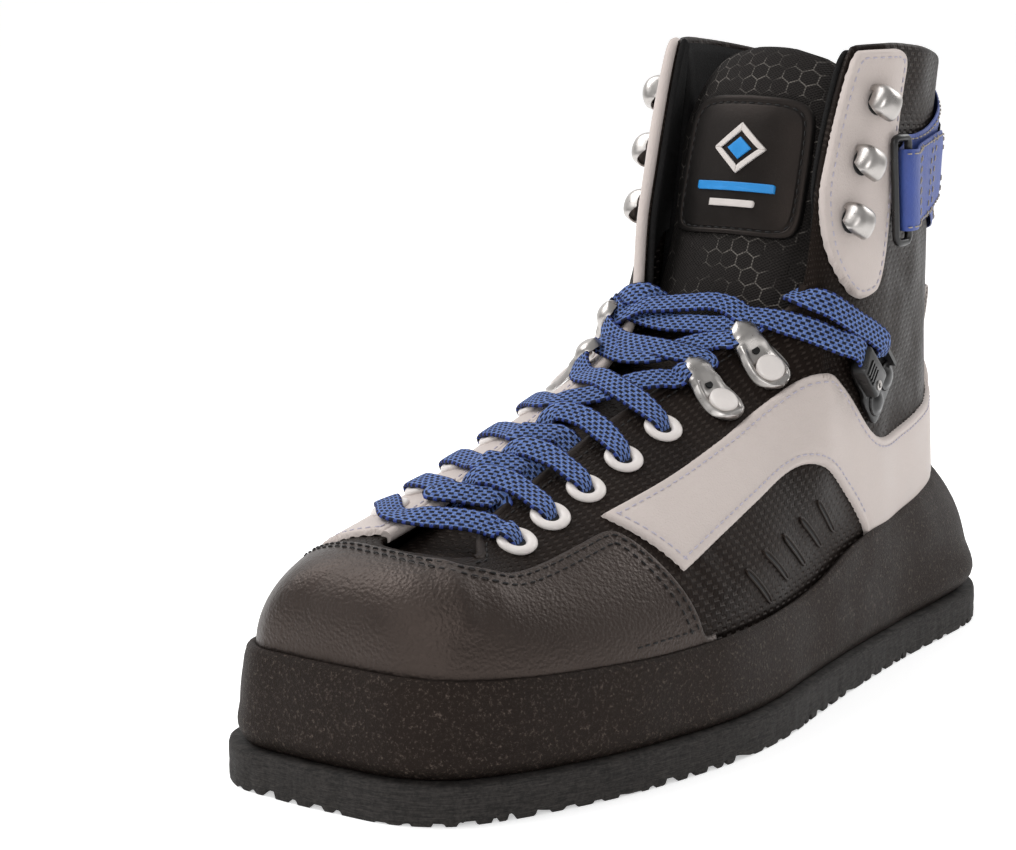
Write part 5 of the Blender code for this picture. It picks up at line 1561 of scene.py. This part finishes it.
def make_strap():
    shape = Shape()
    last = len(STRAP) - 1
    at = np.linspace(0.0, last, STRAP_STEPS)
    knots = np.arange(len(STRAP), dtype=float)
    read = {name: curve(knots, values, at) for name, values in table(STRAP_COLUMNS, STRAP).items()}
    level = np.linspace(-1.0, 1.0, STRAP_ACROSS)
    tip = np.clip((at - (last - STRAP_TIP)) / STRAP_TIP, 0.0, 1.0)
    pinch = np.maximum((1 - tip ** 3.0) ** (1 / 3.0), 0.5)
    middle = (read["low_z"] + read["high_z"]) / 2
    half = (read["high_z"] - read["low_z"]) / 2 * pinch
    z = middle[:, None] + level[None] * half[:, None]
    lines = on_upper(read["place"][:, None], z, np.broadcast_to(read["lift"][:, None], z.shape))
    out = unit(np.cross(np.gradient(lines, axis=0), np.gradient(lines, axis=1)))
    thick = (STRAP_THICKNESS / 2 * (1 - abs(level) ** 14 * 0.7))[None, :, None]
    loops = np.concatenate([lines - out * thick, (lines + out * thick)[:, ::-1]], axis=1)
    across = np.concatenate([z, z[:, ::-1]], axis=1)
    run = run_along(lines[:, STRAP_ACROSS // 2])
    marks = np.stack([np.broadcast_to(run[:, None], across.shape), across], axis=-1)
    rings(shape, loops, marks)
    shape.piece("strap_leather", BLUE_LEATHER, "leather_blue", ["ankle_strap"], crisp=50)
    fold = int(np.searchsorted(at, STRAP_FOLD))
    raised_by = STRAP_THICKNESS / 2 + 0.1
    front, back = lines - out * raised_by, lines + out * raised_by
    for j in (1, STRAP_ACROSS - 2):
        BEIGE_THREAD.along(front[:fold - SEAM_BEFORE, j], -out[:fold - SEAM_BEFORE, j])
        BEIGE_THREAD.along(back[fold + SEAM_AFTER:, j], out[fold + SEAM_AFTER:, j])
    inner = np.arange(1, STRAP_ACROSS - 1)
    slant = np.linspace(-CROSS_SLANT, CROSS_SLANT, len(inner)).astype(int)
    for share in CROSS_SEAMS:
        steps = np.clip(int(fold + share * (len(at) - fold)) + slant, 0, len(at) - 1)
        BEIGE_THREAD.along(back[steps, inner], out[steps, inner])
    patch = Shape()
    grid_u = np.linspace(*PATCH_PLACES, 24)
    low, high = (np.interp(grid_u, PATCH_PLACES, ends)[:, None] for ends in (PATCH_LOW, PATCH_HIGH))
    grid_z = low + (high - low) * np.linspace(0.0, 1.0, 13)[None]
    floor, top = (on_upper(grid_u[:, None], grid_z, lift) for lift in PATCH_LIFTS)
    rings(patch, np.concatenate([floor, top[:, ::-1]], axis=1))
    patch.piece("strap_patch", HOOK_FELT, "leather_blue", crisp=50)


def make_ring():
    shape = Shape()
    path = resample(soften(RING, 2.2, closed=True), 1.0, closed=True)
    tube(shape, on_upper(path[:, 0], path[:, 1], path[:, 2]), RING_WIRE, 12, closed=True)
    shape.piece("ring_plastic", BLACK_PLASTIC, "plastic_black", ["strap_ring"])


def make_pull_tab():
    """A folded loop of webbing, with both ends under the upper edge of the white panel."""
    shape = Shape()
    knots = np.arange(len(TAB_LINE), dtype=float)
    at = np.linspace(0.0, knots[-1], 90)
    line = np.stack([curve(knots, TAB_LINE[:, k], at) for k in range(2)], axis=-1)
    ahead = np.gradient(line, axis=0)
    out = unit(np.stack([ahead[:, 1], -ahead[:, 0]], axis=-1))
    across = np.linspace(-TAB_HALF_WIDTH, TAB_HALF_WIDTH, 15)
    thin = TAB_HALF_THICKNESS * (1 - abs(across / TAB_HALF_WIDTH) ** 12 * 0.6)
    y, depth = np.concatenate([across, across[::-1]]), np.concatenate([-thin, thin[::-1]])
    lines, marks = [], []
    for middle, side, length in zip(line, out, run_along(line)):
        place = middle + side * depth[:, None]
        lines.append(np.column_stack([place[:, 0], y, place[:, 1]]))
        marks.append(np.column_stack([np.full(len(y), length), y]))
    rings(shape, np.array(lines), np.array(marks))
    shape.piece("pull_tab_webbing", WHITE_WEBBING, "webbing_white", ["pull_tab"], crisp=60)


# Fittings


# Profiles of turned pieces: radius and height, from the axis or the inner edge round
EYELET_RING = (
    (2.45, -0.4), (5.35, -0.4), (5.6, 0.1), (5.55, 0.5), (5.2, 0.95), (4.6, 1.2), (3.9, 1.25), (3.2, 1.05),
    (2.7, 0.6), (2.45, 0.1), (2.45, -0.4),
)
# A thin dark disc of painted shade inside each eyelet's hole
EYELET_SHADE_DISC = ((0.01, -0.15), (2.6, -0.15), (2.6, -0.1), (0.01, -0.1))
GHILLIE_RIVET = ((0.01, 0.6), (4.2, 0.6), (4.3, 1.75), (4.1, 2.1), (3.4, 2.3), (1.8, 2.42), (0.01, 2.45))
# A thin dark disc of painted shade set in each ghillie where its hood lifts
GHILLIE_SHADE_DISC = ((0.01, 0.7), (1.25, 0.7), (1.25, 1.3), (0.01, 1.3))
# A dark plate of painted shade inside each hook's hollow
HOOK_SHADE_PLATE = ((0.01, 0.2), (3.7, 0.2), (3.8, 0.5), (3.6, 0.75), (0.01, 0.8))
LOCK_RIVET = (
    (0.01, 0.0), (4.5, 0.0), (4.6, 0.4), (4.35, 0.85), (3.6, 0.9), (3.1, 1.15), (2.2, 1.75), (1.1, 2.05), (0.01, 2.1),
)
LOCK_PIN = ((0.75, 0.0), (1.55, 0.0), (1.55, 0.45), (1.3, 0.6), (0.95, 0.6), (0.75, 0.35), (0.75, 0.0))
# A dark disc of painted shade in each pin's hollow middle
LOCK_PIN_SHADE = ((0.01, 0.0), (0.78, 0.0), (0.78, 0.25), (0.01, 0.25))


def make_eyelets():
    shape, shade_parts = Shape(), Shape()
    for point in EYELETS:
        for place, lift in ((point, GAP), (mirrored(point), LEATHER + 2 * GAP)):
            spot = standing(place, (1.0, 0.0, 0.0), lift)
            turned(shape, EYELET_RING, spot, 44)
            turned(shade_parts, EYELET_SHADE_DISC, spot, 24)
    names = [f"eyelet_{side}_{k}" for side, _ in SIDES for k in range(1, 6)]
    shape.piece("eyelets_plastic", WHITE_PLASTIC, "plastic_white", names, crisp=60)
    # The eyelets' discs of painted shade
    shade_parts.piece("eyelet_hole_shade", HOLE_SHADE, "plastic_black", crisp=60)


# A ghillie, along it from its rivet: radius of its foot, half widths, start and length of its rounded tip, and the
# height of its underside, which lifts into a hood at its front
FOOT_RADIUS = 6.6
GHILLIE_ALONG, GHILLIE_WIDTHS = (0.0, 2.0, 5.0, 8.0, 11.0, 13.4), (6.6, 6.5, 6.0, 5.5, 5.2, 5.0)
TIP_START, TIP_LENGTH, TIP_WIDTH = 13.4, 3.7, 5.0
UNDER_ALONG = np.array([-7.0, 7.0, 9.5, 12.0, 14.5, 17.2])
UNDER_HEIGHTS = np.array([0.0, 0.0, 1.4, 2.6, 2.3, 0.9])
HOOD_START, HOOD_EASE, HOOD_ARCH = 7.5, 2.5, 1.6
GHILLIE_EDGE = 0.35
GHILLIE_ACROSS = np.sin(np.linspace(-math.pi / 2, math.pi / 2, 33))
# Place of the ghillie's disc of painted shade
GHILLIE_SHADE_AT = (6.9, 0.0, 0.0)


def ghillie_places():
    places = {}
    for number, point in enumerate(GHILLIES, 1):
        places["lateral", number] = standing(point, GHILLIE_DIRECTION, 2 * GAP)
        places["medial", number] = standing(mirrored(point), flipped(GHILLIE_DIRECTION, -1), LEATHER + 4 * GAP)
    return places


def ghillie_lines():
    """Rings of points round a ghillie, from its foot to its tip."""
    turn = np.sin(np.linspace(0.0, 1.0, 12)[:-1] * math.pi / 2)
    foot = np.cos(np.linspace(0.0, 1.0, 12)[:-1] * math.pi / 2)
    end = TIP_START + TIP_LENGTH
    along = np.concatenate([
        -FOOT_RADIUS * foot, np.linspace(0.0, TIP_START, 40), TIP_START + TIP_LENGTH * turn[1:], [end],
    ])
    width = np.interp(along, GHILLIE_ALONG, GHILLIE_WIDTHS)
    round_foot = FOOT_RADIUS * np.sqrt(np.clip(1 - (along / FOOT_RADIUS) ** 2, 0.004, 1.0))
    round_tip = TIP_WIDTH * np.sqrt(np.clip(1 - ((along - TIP_START) / TIP_LENGTH) ** 2, 0.004, 1.0))
    width = np.where(along < 0, round_foot, np.where(along > TIP_START, round_tip, width))
    across = GHILLIE_ACROSS
    full = (1 - across ** 6) ** 0.5
    rim = np.exp(-((abs(across) - 0.74) / 0.2) ** 2)
    lines = []
    for x, w, low in zip(along, width, curve(UNDER_ALONG, UNDER_HEIGHTS, along)):
        hood = np.clip((x - HOOD_START) / HOOD_EASE, 0.0, 1.0)
        back = np.exp(-((x + 5.0) / 1.6) ** 2)
        crest = 1.0 + 1.25 * np.maximum(rim, back) * (1 - hood) + hood * 0.75
        floor = low - hood * HOOD_ARCH * across ** 2
        edge = np.full(len(across), x)
        top = np.stack([edge, across * w, floor + GHILLIE_EDGE + (crest - GHILLIE_EDGE) * full], axis=-1)
        bottom = np.stack([edge, across * w, np.maximum(floor, 0.0)], axis=-1)
        lines.append(np.concatenate([top, bottom[::-1]]))
    return np.array(lines)


def make_ghillies():
    shape, rivets, shade_parts = Shape(), Shape(), Shape()
    lines = ghillie_lines()
    for place in ghillie_places().values():
        rings(shape, set_at(lines, place))
        turned(rivets, GHILLIE_RIVET, place, 44)
        turned(shade_parts, GHILLIE_SHADE_DISC, moved(place, GHILLIE_SHADE_AT), 24)
    names = [f"ghillie_{side}_{k}" for side, _ in SIDES for k in (1, 2)]
    shape.piece("ghillies_metal", STEEL, "steel", names, crisp=60)
    rivets.piece("ghillie_rivets", WHITE_PLASTIC, "plastic_white", crisp=50)
    # The ghillies' discs of painted shade
    shade_parts.piece("ghillie_hole_shade", HOLE_SHADE, "plastic_black", crisp=50)


# A hook's half length, the length its rounded ends are drawn to, its shell's thickness and its height over the flap
HOOK_HALF, HOOK_NOSE = 4.8, 4.82
HOOK_SHELL = 1.15
HOOK_LIFT = 1.6 + 4 * GAP


def make_speed_hooks():
    """Short domed scoops: a shell that rises from the leather and curls over a dark plate of painted shade in its
    hollow to a free lower edge.
    """
    shape, shade_plates = Shape(), Shape()
    section = resample(soften(HOOK_SECTION, 2.6), 0.45)
    ahead = np.gradient(section, axis=0)
    inward = unit(np.stack([ahead[:, 1], -ahead[:, 0]], axis=-1))
    thick = HOOK_SHELL * np.sqrt(np.clip(1 - np.linspace(-1.0, 1.0, len(section)) ** 12, 0.15, 1.0))
    lines = []
    for x in HOOK_HALF * np.sin(np.linspace(-1.0, 1.0, 31) * math.pi / 2):
        nose = max(1 - abs(x / HOOK_NOSE) ** 3, 0.003) ** (1 / 3)
        outer = section * np.array([0.25 + 0.75 * nose, nose])
        inner = outer + inward * (thick[:, None] * min(1.0, nose * 1.5))
        both = np.concatenate([outer, inner[::-1]])
        lines.append(np.column_stack([np.full(len(both), x), both]))
    lines = np.array(lines)
    for point in SPEED_HOOKS:
        for _, turn in SIDES:
            place = standing(flipped(point, turn), flipped(HOOK_DIRECTION, turn), HOOK_LIFT)
            rings(shape, set_at(lines * np.array([1.0, turn, 1.0]), place))
            turned(shade_plates, HOOK_SHADE_PLATE, moved(place, (0.5, turn * 0.5, -0.4)), 32)
    names = [f"speed_hook_{side}_{k}" for side, _ in SIDES for k in (1, 2, 3)]
    shape.piece("speed_hooks_metal", STEEL, "steel", names, crisp=60)
    # The hooks' plates of painted shade
    shade_plates.piece("hook_shade_plates", HOLE_SHADE, "steel", crisp=50)


# Flat plates of a lace lock: outline, radius of its corners, and its levels by inset and height
LOCK_BLOCK = (
    ((5.0, -2.0), (5.2, 7.6), (18.5, 7.9), (21.0, -1.0)), 1.4,
    ((0.0, 1.2), (0.0, 4.2), (0.35, 5.0), (1.2, 5.3)),
)
LOCK_GUIDE = (
    ((0.5, -9.7), (0.5, -8.3), (19.0, -7.8), (19.0, -9.2)), 0.5, ((0.0, 1.2), (0.0, 4.0), (0.25, 4.3)),
)
LOCK_RIBS = tuple(
    (((x, 1.6), (x + 0.7, 1.6), (x + 0.5, 7.2), (x - 0.2, 7.2)), 0.3, ((0.0, 5.0), (0.0, 5.6), (0.2, 5.8)))
    for x in (11.6, 13.2, 14.8, 16.4)
)
LOCK_FOOT_LEVELS = ((0.3, 0.0), (0.0, 0.3), (0.0, 1.3), (0.5, 1.7))
LOCK_FOOT_RADIUS = 3.0
RIVET_LIFT = 1.65
PIN_AT = (8.0, 4.4, 5.1)


def plate(shape, outline, levels, place):
    """A flat plate: its outline drawn in towards its middle at some levels."""
    centre = outline.mean(axis=0)
    reach = np.linalg.norm(outline - centre, axis=1, keepdims=True)
    lines = []
    for inset, z in levels:
        line = outline - (outline - centre) / reach * inset
        lines.append(set_at(np.column_stack([line, np.full(len(line), z)]), place))
    rings(shape, lines)


def lock_place(turn):
    return standing(flipped(LACE_LOCK, turn), LOCK_DIRECTION, GAP)


def make_locks():
    """Lace clamps: a foot with two domed rivets, a ribbed block with a pin, and an upright guide beside it."""
    shape, pins, shade_parts = Shape(), Shape(), Shape()
    base = soften(LOCK_OUTLINE, LOCK_FOOT_RADIUS, closed=True)
    for _, turn in SIDES:
        place = lock_place(turn)
        plate(shape, base, LOCK_FOOT_LEVELS, place)
        for outline, radius, levels in (LOCK_BLOCK, LOCK_GUIDE, *LOCK_RIBS):
            plate(shape, soften([(x, turn * y) for x, y in outline], radius, closed=True), levels, place)
        for across in LOCK_RIVETS:
            turned(shape, LOCK_RIVET, moved(place, (0.0, across, RIVET_LIFT)), 40)
        pin = moved(place, flipped(PIN_AT, turn))
        turned(pins, LOCK_PIN, pin, 28)
        turned(shade_parts, LOCK_PIN_SHADE, pin, 20)
    names = [f"lace_lock_{side}" for side, _ in SIDES]
    names += [f"lock_rivet_{side}_{k}" for side, _ in SIDES for k in (1, 2)]
    shape.piece("locks_plastic", BLACK_PLASTIC, "plastic_black", names, crisp=45)
    pins.piece("lock_pins", STEEL, "steel", crisp=45)
    # The pins' discs of painted shade
    shade_parts.piece("lock_pin_shade", HOLE_SHADE, "plastic_black", crisp=45)


# Ends of the vents' slits on the outer side; on the inner side they are mirrored and moved out
SLITS = (
    ((183.0, 50.4, 49.2), (171.8, 51.7, 37.9)), ((172.0, 49.2, 52.3), (159.1, 49.3, 41.7)),
    ((158.4, 47.2, 54.1), (146.4, 47.1, 43.2)), ((146.5, 45.5, 56.7), (134.7, 45.3, 46.1)),
    ((135.3, 44.3, 59.6), (125.0, 43.9, 48.6)),
)
INNER_SLIT_SHIFT = 6.0
SLIT_STEPS = 25
# The rim's distance from the slit's middle, wire and height; the half width, top and bottom of the slit's dark strip of
# painted shade
RIM_HALF, RIM_WIRE, RIM_LIFT = 0.85, 0.42, 0.15
SHADE_STRIP_HALF, SHADE_STRIP_TOP, SHADE_STRIP_BOTTOM = 0.6, 0.2, -0.3


def make_vents():
    """Slits with raised rims in both sides, under the white panels, each with a dark strip of painted shade sunk in it.
    """
    rims, shade_parts = Shape(), Shape()
    taper = np.sqrt(np.clip(1 - np.linspace(-1, 1, SLIT_STEPS) ** 6, 0.0, 1.0))[:, None]
    for ends in SLITS:
        for turn in (1, -1):
            first, last = (nearest((x, y if turn > 0 else -y + INNER_SLIT_SHIFT, z)) for x, y, z in ends)
            point, normal, _, _ = skin_frame(*(np.linspace(first[k], last[k], SLIT_STEPS) for k in (0, 1)))
            side = np.cross(normal, unit(np.gradient(point, axis=0)))
            rim = side * RIM_HALF * taper
            around_it = np.concatenate([point + rim, (point - rim)[::-1][1:-1]])
            lift = np.concatenate([normal, normal[::-1][1:-1]])
            tube(rims, around_it + lift * RIM_LIFT, RIM_WIRE, 8, closed=True)
            # A dark strip of painted shade sunk in the slit
            shade_strip = side * SHADE_STRIP_HALF * taper
            a, b = point + shade_strip, point - shade_strip
            high, low = normal * SHADE_STRIP_TOP, normal * SHADE_STRIP_BOTTOM
            rings(shade_parts, np.stack([a + high, b + high, b + low, a + low], axis=1)[1:-1])
    rims.piece("vent_rims", PLAIN_BLACK, "leather_black", crisp=60)
    # The slits' dark strips of painted shade
    shade_parts.piece("vent_slit_shade", HOLE_SHADE, "plastic_black", crisp=60)


# Lace


# Half of a lace's section from edge to edge, in shares of its half sizes; the other half is turned over
LACE_HALF = (
    (-1.0, 0.0), (-0.97, 0.5), (-0.86, 0.85), (-0.6, 1.0), (-0.2, 1.04), (0.2, 1.04), (0.6, 1.0), (0.86, 0.85),
    (0.97, 0.5),
)
LACE_STEP, FEWEST_STEPS = 0.9, 12
# Height of a band over the throat's inner edge, and how far before its eyelet it crosses that edge
EDGE_LIFT = 3.15
CROSSING_AHEAD = 6.5
# Where a band comes up out of the throat: its share and depth under the leather, then inwards and down from the edge
HIDDEN_SHARE, HIDDEN_LIFT = 0.88, -WALL - 1.2
PAST_EDGE = (2.6, 1.9)
# Steps of a band at an eyelet: distance ahead, height, shares of the normal and of the way ahead in its facing, width
INTO_EYELET = (
    (-4.6, 2.15, 1.0, 0.0, 1.0), (-1.7, 1.75, 0.8, 0.6, 0.78), (-0.1, 0.2, 0.3, 0.95, 0.56),
    (0.3, -1.2, 0.0, 1.0, 0.52),
)
OVER_EYELET = (
    (-1.0, 2.1, 1.0, 0.0, 1.0), (3.4, 2.0, 1.0, 0.0, 1.0), (5.6, 1.2, 1.0, 0.6, 1.0), (6.3, -0.4, 0.3, 1.0, 1.0),
)
# A band under a ghillie's hood: place on the ghillie and width
UNDER_HOOD = ((13.6, 5.2, 1.9, 0.8), (12.8, 0.0, 1.7, 0.62), (13.6, -5.2, 1.9, 0.8))
# A band's places in a lace lock, and the place where its tail leaves
IN_LOCK = ((23.0, 2.5, 3.0), (15.0, 2.8, 3.0))
OUT_OF_LOCK = (10.0, -5.0, 3.0)
TAIL_LIFT = 0.2
# Lifts of the front bands, and the first and last lift of those that lie below
OVER_LIFT = 1.0
BELOW_LIFTS = (-1.8, 0.8)
# Crossings of the throat's inner edge by the two ankle strands: place along the shoe and more height
OUTER_STRAND_EDGES = ((146.5, 0.0), (138.0, 0.7))
INNER_STRAND_EDGES = ((167.0, 0.0), (151.0, 0.0), (135.0, -0.6))
# Lifts of the ankle strands' bands over their lines
LIFT_A_START, LIFT_A_END, LIFT_B, LIFT_C, LIFT_D, LIFT_E, LIFT_INNER = -0.8, 0.2, 0.4, -0.4, -0.6, 0.6, 1.6


def throat_place(x, turn):
    """Place round the sole where the throat's edge on a side has the given x."""
    first, last = THROAT_SECTIONS[turn]
    places = np.linspace(SECTION_PLACE[first], SECTION_PLACE[last], 300)
    edge = around("top_x", places, steady_slopes)
    order = np.argsort(edge)
    return np.interp(x, edge[order], places[order])


def lifted(u, v, lift):
    foot, normal, _, _ = skin_frame(u, v)
    return foot + normal * lift, normal


LACE_SECTION = np.array([*LACE_HALF, *((-x, -y) for x, y in LACE_HALF)])


def strand(shape, route):
    """A flat braided band along a route of points, outward directions and widths."""
    points, outs = (np.array([place[k] for place in route]) for k in (0, 1))
    widths = np.array([place[2] if len(place) > 2 else 1.0 for place in route])
    run = run_along(points)
    at = np.linspace(0.0, run[-1], max(FEWEST_STEPS, int(run[-1] / LACE_STEP)))
    path = np.stack([curve(run, points[:, k], at) for k in range(3)], axis=-1)
    facing = np.stack([curve(run, outs[:, k], at, steady_slopes) for k in range(3)], axis=-1)
    width = curve(run, widths, at, steady_slopes)[:, None, None]
    ahead = np.gradient(path, axis=0)
    wide = unit(np.cross(facing, ahead))
    thick = unit(np.cross(ahead, wide))
    sideways = LACE_HALF_WIDTH * width * LACE_SECTION[None, :, :1] * wide[:, None]
    upwards = LACE_HALF_THICKNESS * (2 - width) * LACE_SECTION[None, :, 1:] * thick[:, None]
    marks = np.empty((len(at), len(LACE_SECTION), 2))
    marks[..., 0] = run_along(path)[:, None]
    marks[..., 1] = LACE_SECTION[None, :, 0] * LACE_HALF_WIDTH
    rings(shape, path[:, None] + sideways + upwards, marks)


def over_edge(x, more=0.0):
    """A band's place over the throat's inner edge."""
    return lifted(throat_place(x, -1), 1.0, EDGE_LIFT + more)


def under_edge(x, turn):
    """A band coming up out of the throat: first under the leather, then past its edge."""
    place = throat_place(x, turn)
    edge, _ = lifted(place, 1.0, 0.0)
    inwards, down = PAST_EDGE
    return [lifted(place, HIDDEN_SHARE, HIDDEN_LIFT), (edge + np.array([0.0, -turn * inwards, -down]), INSTEP_OUT)]


def at_eyelet(point, before, base, steps):
    """A band's steps at an eyelet, coming from an earlier place."""
    foot, normal, _, _ = skin_frame(*nearest(point))
    ahead = foot - np.asarray(before)
    ahead = unit(ahead - normal * ahead.dot(normal))
    return [
        (foot + ahead * step + normal * (base + height), normal * up + ahead * over, width)
        for step, height, up, over, width in steps
    ]


def into_eyelet(number, before):
    """A band over an outer eyelet's ring and down its hole."""
    return at_eyelet(EYELETS[number], before, GAP, INTO_EYELET)


def onto_inner_eyelet(number, before):
    """A band over an inner eyelet, covering it, with its end tucked under."""
    return at_eyelet(mirrored(EYELETS[number]), before, LEATHER + 2 * GAP, OVER_EYELET)


def under_hood(side, number):
    """A band passing under the hood of a ghillie, from its front to its back."""
    place = ghillie_places()[side, number]
    turn = dict(SIDES)[side]
    return [(set_at((x, turn * y, z), place), place[1][:, 2], width) for x, y, z, width in UNDER_HOOD]


def band(points, lift=0.0):
    """Places of a band's middle line, each with the direction away from the foot."""
    route = []
    for point in points:
        u, v = nearest(point)
        if v < OVER_THROAT:
            out = skin_frame(u, v)[1]
        else:
            out = BAND_OUT + np.array([0.0, BAND_FAN * (point[1] - THROAT_MIDDLE), 0.0])
        out = unit(out)
        route.append((np.asarray(point) + out * lift, out))
    return route


def make_laces():
    shape = Shape()
    bar = band(FRONT_BAR)
    strand(shape, onto_inner_eyelet(0, bar[0][0])[::-1] + bar + into_eyelet(0, bar[-1][0]))
    for number, (place, points) in enumerate(BANDS_TO_OUTER, 1):
        over = band(points, OVER_LIFT)
        strand(shape, under_edge(place, -1) + over + into_eyelet(number, over[-1][0]))
    for number, (place, points) in enumerate(BANDS_TO_INNER, 1):
        lifts = np.linspace(*BELOW_LIFTS, len(points))
        below = [band([point], lift)[0] for point, lift in zip(points, lifts)]
        edge = over_edge(EYELETS[number][0] + CROSSING_AHEAD)
        strand(shape, under_edge(place, 1) + below + [edge] + onto_inner_eyelet(number, edge[0]))
    locks = {}
    for _, turn in SIDES:
        lock = lock_place(turn)
        out = lock[1][:, 2]
        locks[turn] = [(set_at(flipped(point, turn), lock), out) for point in IN_LOCK]
        tail = band([flipped(point, turn) for point in TAIL_FROM_LOCK], TAIL_LIFT)
        if turn < 0:
            tail = tail[:2] + [(np.array(point), np.array(facing)) for point, facing in INNER_TAIL]
        strand(shape, [(set_at(flipped(OUT_OF_LOCK, turn), lock), out)] + tail)
    edge = over_edge(EYELETS[4][0] + CROSSING_AHEAD)
    crossings = [[over_edge(x, more)] for x, more in OUTER_STRAND_EDGES]
    strand(
        shape,
        onto_inner_eyelet(4, edge[0])[::-1] + [edge] + band(BAND_A[:2], LIFT_A_START)
        + band(BAND_A[2:], LIFT_A_END) + under_hood("lateral", 1) + band(BAND_B, LIFT_B) + crossings[0]
        + under_hood("medial", 2)[1:] + crossings[1] + band(BAND_E, LIFT_E) + locks[1],
    )
    first = band(BAND_A_INNER, OVER_LIFT)
    crossings = [[over_edge(x, more)] for x, more in INNER_STRAND_EDGES]
    strand(
        shape,
        into_eyelet(4, first[0][0])[::-1] + first + crossings[0] + under_hood("medial", 1)[1:]
        + crossings[1] + band(BAND_C, LIFT_C) + under_hood("lateral", 2) + band(BAND_D, LIFT_D)
        + crossings[2] + band(INNER_ANKLE, LIFT_INNER) + locks[-1],
    )
    names = ["lace_front_bar", "lace_ankle"] + [f"lace_crossing_{k}" for k in range(1, 7)]
    shape.piece("laces_braid", LACE, "lace_blue", names, crisp=60)


# Rolled edges: radii, how far they run past the rows at their ends, and the seam's distance from the outer one
BINDING_OUTER, BINDING_INNER = 1.7, 1.75
PAST_OUTER, PAST_INNER = 4.0, 2.0
BINDING_SEAM, BINDING_SEAM_LIFT = 3.2, 0.1
# The flaps' felt: places at its ends, length of its rounded ends, lowest share, depths of its two faces behind
# the leather, and its edge past the flap by depth and reach
FELT_PLACES = (
    (SECTION_PLACE[COLLAR_OUTER] + 0.5, SECTION_PLACE[ANKLE_OUTER] - 3.0),
    (SECTION_PLACE[ANKLE_INNER] + 3.0, SECTION_PLACE[COLLAR_INNER] + 2.0),
)
FELT_ROUND, FELT_LOW = 4.0, 0.6
FELT_NEAR, FELT_FAR = 0.1, 2.0
FELT_EDGE = ((-0.1, 1.8), (-0.5, 2.6), (-1.2, 2.8), (-1.7, 2.4), (-2.0, 1.4))


def make_binding():
    """Rolled edges along the throat: black on the outer side, white on the inner side and along the inner flap."""
    shape = Shape()
    first, last = (SECTION_PLACE[row] for row in THROAT_SECTIONS[1])
    places = np.linspace(first - PAST_OUTER, last + PAST_OUTER, 160)
    tube(shape, skin(places, 1.0, -WALL / 2), BINDING_OUTER, 12)
    share = 1.0 - BINDING_SEAM / np.linalg.norm(skin_frame(places, 0.97)[3], axis=1)
    point, normal, _, _ = skin_frame(places, share)
    DARK_THREAD.along(point + normal * BINDING_SEAM_LIFT, normal)
    first, last = (SECTION_PLACE[row] for row in (THROAT_INNER, COLLAR_INNER))
    places = np.linspace(first + PAST_INNER, last + PAST_INNER, 220)
    tube(shape, skin(places, 1.0), BINDING_INNER, 12, slot=1)
    shape.piece("throat_binding", [PLAIN_BLACK, WHITE_LEATHER], "leather_black", crisp=60)


def make_flap_felt():
    """Felt on the inner faces of the flaps, showing a little past their edges."""
    shape = Shape()
    for first, last in FELT_PLACES:
        u = np.linspace(first, last, 70)
        ends = np.clip(np.minimum(u - first, last - u) / FELT_ROUND, 0.0, 1.0)[:, None]
        grid = np.meshgrid(u, np.linspace(FELT_LOW, 1.0, 20), indexing="ij")
        near, far = (skin(*grid, -WALL - depth) for depth in (FELT_NEAR, FELT_FAR))
        point, normal, _, rise = skin_frame(u, 1.0)
        rise = unit(rise)
        past = [point + normal * (depth - WALL) + rise * reach * ends for depth, reach in FELT_EDGE]
        rings(shape, np.concatenate([near, np.stack(past, axis=1), far[:, ::-1]], axis=1))
    shape.piece("flap_felt", LINING_FELT, "mesh_black", crisp=60)


def make_stitches():
    LIGHT_THREAD.shape.piece("stitches_pale", PALE_THREAD, "leather_white", crisp=60)
    DARK_THREAD.shape.piece("stitches_dark", BLACK_THREAD, "leather_black", crisp=60)
    BEIGE_THREAD.shape.piece("stitches_tan", TAN_THREAD, "leather_blue", crisp=60)


make_camera()
make_studio()
make_outsole()
make_side_wall()
make_upper()
make_lining()
make_tongue()
make_badge()
make_toe_cap()
make_panels()
make_flaps()
make_heel_pad()
make_strap()
make_ring()
make_pull_tab()
make_eyelets()
make_ghillies()
make_speed_hooks()
make_locks()
make_vents()
make_laces()
make_binding()
make_flap_felt()
make_stitches()
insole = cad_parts["insole"]
insole.data.materials.clear()
insole.data.materials.append(INSOLE_FELT)
